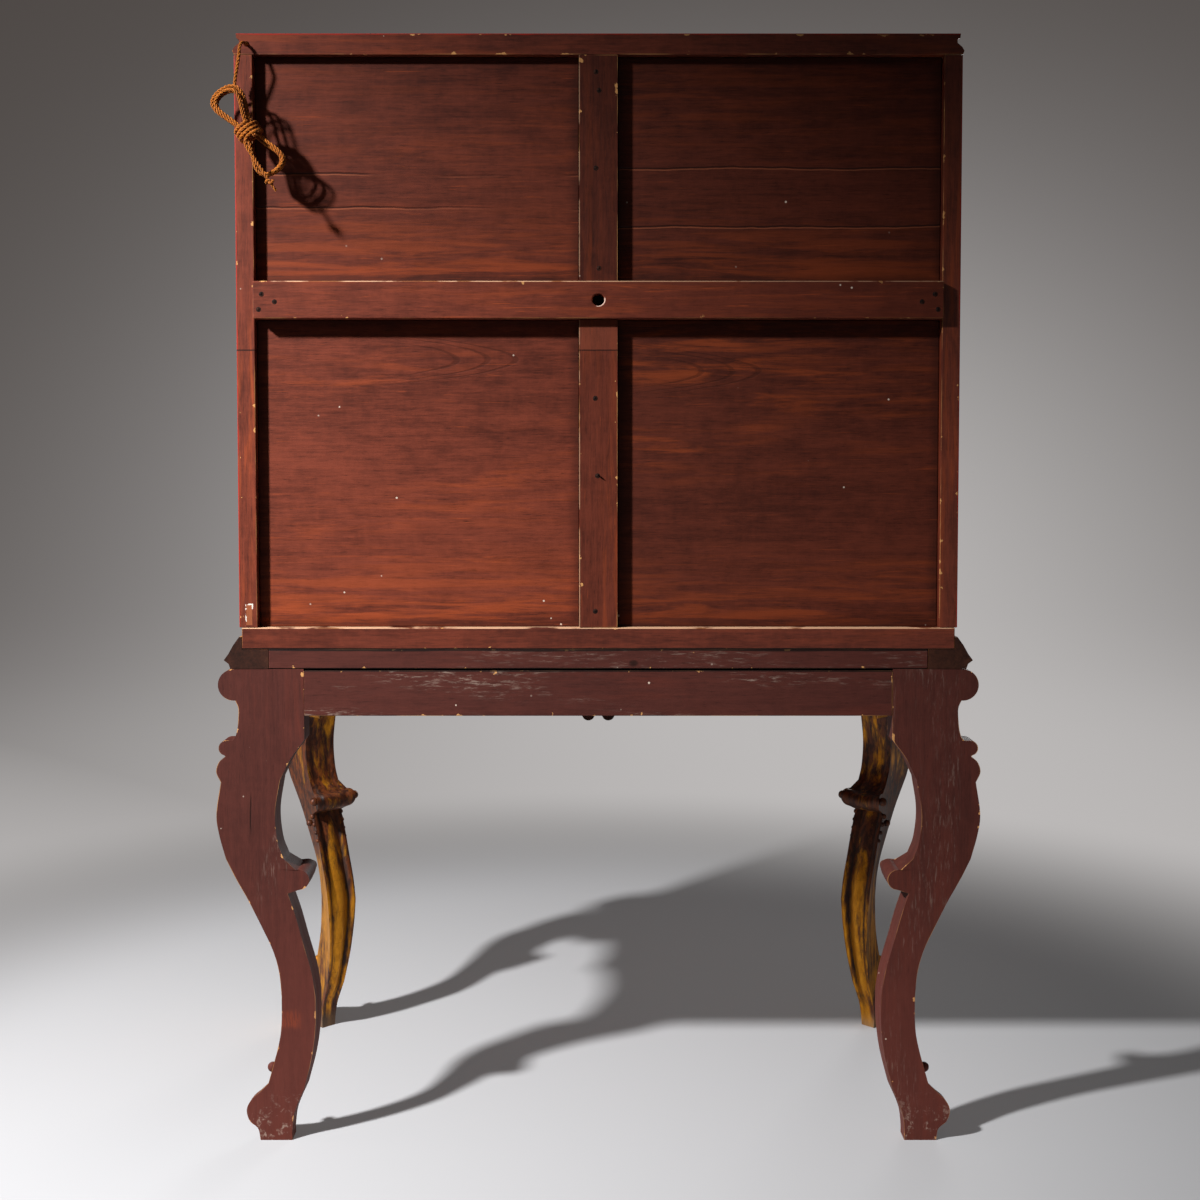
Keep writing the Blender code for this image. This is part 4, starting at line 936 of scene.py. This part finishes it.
class CABINET_OT_back(bpy.types.Operator):
    """The washed boards of the cabinet's back"""

    bl_idname = "cabinet.back_boards"
    bl_label = "Back boards"

    def board(
        self, node, axis, tone, seed, wear, cracks=(), deep=False, rims=(), joint=None, hole=None, arch=None
    ):
        """Red-brown wash on a board: tone scales its light, cracks run along it at the given heights."""
        f = Finish(f"{node}_wash")
        c = tints()
        light, dark, worn = washes(tone)
        height = f.timber(axis, light, dark, worn, seed, wear)
        box = node_box(node)
        arris = f.arris(box)
        if deep:
            streaks = f.ease(f.noise((5.0, 5.0, 70.0), seed, 5.0, 0.6, 0.65), 0.42, 0.62)
            f.lay(f.ease(f.z, box[0][2] + 0.13, box[0][2]) * streaks * 0.6, worn)
            # Darker towards the board's edges.
            edge_darkening = f.ease(arris + f.noise(26.0, seed, 5.0) * 0.016, 0.026, 0.008)
            f.lay(edge_darkening * 0.55, srgb(36, 15, 10))
        else:
            f.chips(arris, seed, c.raw)
        if arch:
            wobble = f.noise(14.0, seed + 51, 3.0) * 0.03
            lift = (f.z - arch[1]) * 50.0
            bow = f.x - arch[0] - lift * lift * 0.06 + wobble
            first, second, third = (f.strip(bow, place, 0.006) for place in (0.015, 0.05, 0.095))
            rings = first.high(second).high(third) * f.ease(f.x, arch[0] + 0.22, arch[0] + 0.08)
            f.lay(rings * 0.42, srgb(44, 18, 11))
            height = height - rings * 0.4
        for crack in cracks:
            wander = f.noise((7.0, 1.0, 1.0), crack * 10, 4.0) * 0.016
            line = f.strip(f.z - wander, crack - 0.008, 0.0012)
            # Painted highlight: a pale line just below each crack, where its lower lip catches the light.
            shine = f.strip(f.z - wander, crack - 0.0102, 0.0010)
            along = f.ease(f.noise((4.0, 1.0, 1.0), crack * 20), 0.36, 0.5)
            f.lay(shine * along * 0.28, srgb(190, 112, 76))
            f.lay(line * along * 0.8, srgb(34, 14, 9))
            height = height - line * along * 2.0
        if joint:
            f.lay(f.ease(f.z, joint, joint + 0.0005) * 0.3, srgb(126, 66, 48))
            f.lay(f.strip(f.z, joint, 0.0013) * 0.8, srgb(26, 11, 7))
        # Partly rubbed wear, partly painted highlight: pale lines on the edges that face the lamp.
        for key, end, share in rims:
            f.rubbed_highlight_rim(box, key, end, share, seed)
        if hole:
            # Painted shade: the board darkens towards -X, as the lamp's light falls off across it.
            f.lay(f.ease(f.x, 0.25, -0.3) * 0.55, dark)
            off = f.z - (box[0][2] + box[1][2]) / 2
            ring = f.x * f.x + off * off
            # Painted highlight: a pale crescent on one side of the bore's edge, where the light catches it.
            lit = f.ease(ring, hole * hole * 1.42, hole * hole * 1.3) * f.ease(f.x + off, -0.004, -0.008)
            f.lay(lit * 0.9, srgb(214, 178, 160))
        scratch = f.noise(f.grain(axis, 14.0, 360.0), seed + 31, 4.0, 0.4, 0.62)
        f.lay(f.ease(scratch, 0.62, 0.72) * 0.4, worn)
        f.lay(f.specks(38.0, 0.07, seed) * 0.9, c.dust)
        rough = 0.46 + scratch * 0.2 + height * 0.08
        dress(node, f.shade(rough, height, 0.4, 0.0009), BOARD_ARRIS)

    def execute(self, context):
        # Lower tones on the -X boards are partly painted shade, for the lamp's light falling off across the
        # back.
        self.board("back_panel_upper_right", "x", 0.80, 1.0, 0.30, (1.2958, 1.253), True)
        self.board("back_panel_upper_left", "x", 0.63, 6.3, 0.30, (1.304, 1.228), True)
        self.board("back_panel_lower_right", "x", 1.08, 3.7, 0.55, (), True, arch=(0.112, 1.052))
        self.board("back_panel_lower_left", "x", 0.66, 9.1, 0.75, (), True, arch=(-0.213, 1.037))
        self.board("back_muntin_upper", "z", 0.56, 4.4, 0.35, rims=(("x", 1, 0.4),))
        self.board("back_muntin_lower", "z", 0.84, 8.2, 0.45, rims=(("x", 1, 0.4),), joint=JOINT_Z)
        self.board("back_mid_rail", "x", 1.12, 5.2, 0.45, rims=(("z", 1, 0.8),), hole=0.008)
        self.board("shelf", "x", 0.8, 2.6, 0.3)
        self.board("shelf_bearer_left", "y", 0.8, 2.9, 0.3)
        self.board("shelf_bearer_right", "y", 0.8, 3.3, 0.3)
        return {"FINISHED"}


class CABINET_OT_case(bpy.types.Operator):
    """The lacquered sides, top, bottom and doors, painted on their back edges"""

    bl_idname = "cabinet.case_lacquer"
    bl_label = "Lacquered case"

    def lacquer(self, node, axis, seed, plane, lined=True, lip=None, pale=None, patched=False, tone=1.0):
        """Red lacquer with gilt lines at a set distance from a face's edges, and a washed back edge."""
        f = Finish(f"{node}_lacquer")
        c = tints()
        box = node_box(node)
        cloud = f.noise(5.0, seed, 4.0, 0.5)
        craze = f.ease(f.cells(95.0, "DISTANCE_TO_EDGE", seed), 0.03, 0.0)
        f.base = f.mix(f.ease(cloud, 0.36, 0.8) * 0.5, c.lacquer, c.lacquer_dark)
        f.lay(craze * 0.22, srgb(50, 8, 6))
        arris = f.arris(box)
        f.chips(arris, seed, srgb(190, 84, 52))
        metal = 0.0
        rough = 0.24 + craze * 0.1 + f.noise(9.0, seed, 3.0) * 0.14
        if lined:
            axes = {"x": f.x, "y": f.y, "z": f.z}
            low, high = (dict(zip("xyz", corner)) for corner in box)
            gaps = [(axes[k] - low[k]).low(high[k] - axes[k]) for k in plane]
            inset = gaps[0].low(gaps[1])
            broad = f.ease(abs(inset - 0.0320), 0.0024, 0.0018)
            thin = f.ease(abs(inset - 0.0410), 0.0010, 0.0006)
            leaf = broad.high(thin) * f.ease(f.noise(120.0, seed, 4.0), 0.34, 0.42)
            f.lay(leaf, c.gold)
            metal = leaf * 0.75
            rough = rough + leaf * 0.12
        lacquered = f.base
        height = f.timber(axis, *washes(tone), seed, 0.55)
        f.chips(arris, seed + 4, c.raw)
        f.lay(f.specks(44.0, 0.06, seed) * 0.9, c.dust)
        if lip:
            drip = f.noise(30.0, seed + 8, 3.0) * 0.0032
            f.lay(f.ease(drip - f.gap(box, *lip), 0.0, 0.0006), srgb(150, 34, 22))
        if pale:
            # The bottom's upper edge gets a pale line, partly rubbed wear and partly painted highlight, and
            # its lower edge a line of painted shade where it meets the stand.
            f.rubbed_highlight_rim(box, *pale, seed)
            f.painted_joint_shade(box, 0, 0.003, seed)
        if patched:
            f.lay(f.strip(f.z, JOINT_Z, 0.0014) * 0.85, srgb(24, 10, 7))
            (x0, x1), (z0, z1) = INLAY
            inset = (f.x - x0).low(x1 - f.x).low((f.z - z0).low(z1 - f.z))
            f.lay(f.ease(inset, 0.0, 0.0005) * 0.6, srgb(160, 92, 58))
            patchy = f.ease(f.noise(90.0, seed, 3.0), 0.52, 0.58)
            filler = f.ease(abs(inset), 0.0013, 0.0005) * patchy
            f.lay(filler, srgb(226, 214, 202))
        behind = f.ease(f.y, BACK_Y - PAINT_SKIN, BACK_Y - PAINT_SKIN * 0.5)
        inner = (lip[0], 1 - lip[1]) if lip else pale
        if inner:
            gap = f.gap(box, *inner[:2])
            rebate = node_box("back_panel_upper_left")[1][1]
            behind = behind.high(f.ease(gap, 0.0016, 0.0008) * f.ease(f.y, rebate - 0.001, rebate))
        f.base = f.mix(behind, lacquered, f.base)
        rough = rough + behind * 0.24
        if lined:
            metal = metal * (1.0 - behind)
        f.shader.inputs["Coat Weight"].default_value = 0.18
        f.shader.inputs["Coat Roughness"].default_value = 0.2
        dress(node, f.shade(rough, height * behind, 0.3, 0.0007, metal), LACQUER_ARRIS)

    def execute(self, context):
        # The +X side's higher tone lightens its washed back edge: painted light on the side that the lamp
        # lights.
        self.lacquer("case_side_right", "z", 1.2, "yz", True, ("x", 1), None, True, 1.22)
        self.lacquer("case_side_left", "z", 2.2, "yz", True, ("x", 0))
        self.lacquer("case_top", "x", 3.4, "xy", True, ("z", 1))
        self.lacquer("case_bottom", "x", 4.1, "xy", False, None, ("z", 1, 0.75))
        self.lacquer("door_right", "z", 5.3, "xz")
        self.lacquer("door_left", "z", 6.8, "xz")
        return {"FINISHED"}


class CABINET_OT_stand(bpy.types.Operator):
    """The stand's painted back and its gilt aprons and mouldings"""

    bl_idname = "cabinet.stand"
    bl_label = "Stand"

    def execute(self, context):
        painted = {
            "apron_back": ("x", 3.0, 0.3, None, ((1, 0.0032),)),
            "stand_back_strip": ("x", 7.0, 0.12, STRIP_KNOT, ((0, 0.0024), (1, 0.0048))),
            "corner_block_right": ("z", 5.0, 0.1),
            "corner_block_left": ("z", 5.0, 0.1),
        }
        for node, (axis, seed, *marks) in painted.items():
            dress(node, stand_paint(f"{node}_paint", axis, seed, node_box(node), *marks), BOARD_ARRIS)
        moulding = gilding("moulding_gilding", BACK_Y, 0.0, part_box("stand_moulding_left")[1].z)
        for side in ("front", *SIDES):
            dress(f"apron_{side}", gilding(f"apron_{side}_gilding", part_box(f"apron_{side}")[1].y))
            dress(f"stand_moulding_{side}", moulding)
        return {"FINISHED"}


class CABINET_OT_carving(bpy.types.Operator):
    """The gilt bead along the aprons' lower edges and the shell in the middle of the front one"""

    bl_idname = "cabinet.carving"
    bl_label = "Carving"

    def edge(self, span, drops, low):
        """A bead's line: the apron's lower edge, moved square to itself into the apron."""
        line = curve(drops, 14) * (span, -1)
        way = unit(np.gradient(line, axis=0))
        return line + columns(-way[:, 1], way[:, 0]) * BEAD_INSET + (0, low)

    def execute(self, context):
        gold = gilding("carving_gilding")
        low = LEG_TOP - APRON_DEPTH
        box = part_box("apron_front")
        pendant, ear, apart = 0.0795, 0.072, 0.032
        span = box[1].x - 0.003
        lobe = arc((apart / 2, pendant - apart / 3), apart / 3, 165, 15, 5)
        half = (
            (0.0, pendant - apart * 0.4),
            *((x / span, q) for x, q in lobe),
            *((s, q * pendant) for s, q in ((0.09, 0.74), (0.13, 0.6), (0.19, 0.5), (0.25, 0.22))),
            (0.36, 0.04 * pendant),
            *((s, q * ear) for s, q in ((0.55, 0), (0.74, 0.17), (0.86, 0.55), (0.95, 0.92), (1.0, 1))),
        )
        drops = [(-s, q) for s, q in reversed(half[1:])] + list(half)
        line = self.edge(span, drops, low)
        path = columns(line[:, 0], box[0].y - 0.0006, line[:, 1])
        skins = [bar(path, BEAD_RADIUS)]
        rays = np.radians(np.linspace(-66, 66, 9))
        s = np.linspace(0, 1, 24)[:, None]
        for a in rays:
            long = SHELL_RAY - 0.012 * abs(a)
            way = np.array((math.sin(a), 0, -math.cos(a)))
            ray = np.array((0, box[0].y - 0.0004, SHELL_Z)) + way * (0.008 + long * s)
            skins.append(bar(ray, 0.0012 + 0.0046 * np.sin(np.pi * (0.08 + 0.84 * s[:, 0])) ** 0.7))
        boss = (0, box[0].y - 0.0008, SHELL_Z + 0.002)
        skins.append(globe(boss, (0.0085, 0.0045, 0.0085), {"edge": 0.3}))
        piece("front_apron_carving", "case", gold, skins, 60)
        rear, middle, front = 0.040, 0.022, 0.070
        drops = (
            *((s, q * rear) for s, q in ((-1, 1), (-0.9, 0.75), (-0.6, 0))),
            *((s, q * middle) for s, q in ((-0.12, 0.2), (0, 1), (0.12, 0.2))),
            *((s, q * front) for s, q in ((0.5, 0), (0.8, 0.48), (0.93, 0.9), (1, 1))),
        )
        for side, flip in SIDES.items():
            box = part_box(f"apron_{side}")
            centre, span = (box[0].y + box[1].y) / 2, (box[1].y - box[0].y) / 2 - 0.003
            line = self.edge(span, drops, low)
            outer = flip * (max(abs(box[0].x), abs(box[1].x)) + 0.0006)
            skins = [bar(columns(outer, centre - line[:, 0], line[:, 1]), BEAD_RADIUS)]
            piece(f"{side}_apron_bead", "case", gold, skins, 60)
        return {"FINISHED"}


class CABINET_OT_fittings(bpy.types.Operator):
    """Brass hinges, lock, key and bolts, and the lamp inside"""

    bl_idname = "cabinet.fittings"
    bl_label = "Fittings"

    def execute(self, context):
        c = tints()
        f = Finish("aged_brass")
        cloud = f.noise(40.0, 1.0, 5.0, 0.4)
        fine = f.noise((500.0, 500.0, 60.0), 4.0, 2.0)
        tarnish = f.ease(cloud, 0.45, 0.68)
        f.base = f.mix(tarnish * 0.8, c.brass, srgb(96, 62, 26))
        brass = f.shade(0.3 + tarnish * 0.25, fine, 0.12, 0.0003, 0.9)
        f = Finish("frosted_bulb")
        frost = f.noise(300.0, 2.0, 3.0)
        f.shader.inputs["Transmission Weight"].default_value = 0.35
        f.base = f.mix(frost * 0.3, srgb(236, 232, 222), srgb(214, 208, 194))
        bulb = f.shade(0.4 + frost * 0.2, frost, 0.05)
        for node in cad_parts:
            if node.startswith(("hinge_", "lock_", "bolt_", "key", "lamp_holder")):
                dress(node, brass)
        dress("lamp_bulb", bulb)
        return {"FINISHED"}


class CABINET_OT_nails(bpy.types.Operator):
    """Nail heads on dark discs of painted shade for their holes on the back's frame, and a dark plug of
    painted shade in the rail's bore
    """

    bl_idname = "cabinet.nails"
    bl_label = "Nails"

    def execute(self, context):
        f = Finish("old_iron_and_hole_shade")
        rust = f.noise(300.0, 2.0, 4.0)
        f.base = f.mix(f.ease(rust, 0.4, 0.65), srgb(16, 9, 7), srgb(52, 28, 19))
        iron_and_shade = f.shade(0.7 + rust * 0.2, rust, 0.4, 0.0004)
        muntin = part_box("back_muntin_upper")[1].y
        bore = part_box("back_mid_rail")
        rail = bore[1].y
        places = []
        for aside, stagger, heights in (UPPER_NAILS, LOWER_NAILS):
            places += [(aside - stagger * (k % 2), muntin, z) for k, z in enumerate(heights)]
        places += [(x * flip, rail, z) for flip in SIDES.values() for x, z in RAIL_NAILS]
        skins = []
        for x, y, z in places:
            # A dark disc of painted shade for the nail's hole
            skins.append(globe((x, y, z), NAIL_HOLE_SHADE, None, 7, 14))
            skins.append(globe((x + 0.0006, y + 0.0002, z + 0.0005), NAIL_HEAD, None, 7, 12))
        x, z = PROUD_NAIL
        skins.append(globe((x, muntin + 0.003, z), NAIL_SHANK, None, 9, 10))
        # A dark plug of painted shade inside the rail's bore
        middle = (0, bore[0].y + 0.006, (bore[0].z + bore[1].z) / 2)
        skins.append(globe(middle, BORE_SHADE_PLUG, None, 9, 24))
        piece("back_nails_and_hole_shades", "case", iron_and_shade, skins, 60)
        return {"FINISHED"}


class CABINET_PT_panel(bpy.types.Panel):
    """Sizes, colours and the steps that build the cabinet's looks"""

    bl_idname = "CABINET_PT_panel"
    bl_label = "Cocktail Cabinet"
    bl_space_type = "VIEW_3D"
    bl_region_type = "UI"
    bl_category = "Cabinet"

    def draw(self, context):
        for group in (context.scene.cabinet_sizes, context.scene.cabinet_colours):
            for key in group.bl_rna.properties.keys():
                if key not in ("name", "rna_type"):
                    self.layout.prop(group, key)
        for step in STEPS:
            self.layout.operator(step.bl_idname)


STEPS = (
    CABINET_OT_stage,
    CABINET_OT_cord,
    CABINET_OT_rear_legs,
    CABINET_OT_front_legs,
    CABINET_OT_back,
    CABINET_OT_case,
    CABINET_OT_stand,
    CABINET_OT_carving,
    CABINET_OT_fittings,
    CABINET_OT_nails,
)
CLASSES = (CabinetSizes, CabinetColours, *STEPS, CABINET_PT_panel)


def register():
    for made in CLASSES:
        bpy.utils.register_class(made)
    bpy.types.Scene.cabinet_sizes = bpy.props.PointerProperty(type=CabinetSizes)
    bpy.types.Scene.cabinet_colours = bpy.props.PointerProperty(type=CabinetColours)


def unregister():
    del bpy.types.Scene.cabinet_colours
    del bpy.types.Scene.cabinet_sizes
    for made in reversed(CLASSES):
        bpy.utils.unregister_class(made)


def main():
    register()
    for step in STEPS:
        group, name = step.bl_idname.split(".")
        getattr(getattr(bpy.ops, group), name)()


if __name__ == "__main__":
    main()
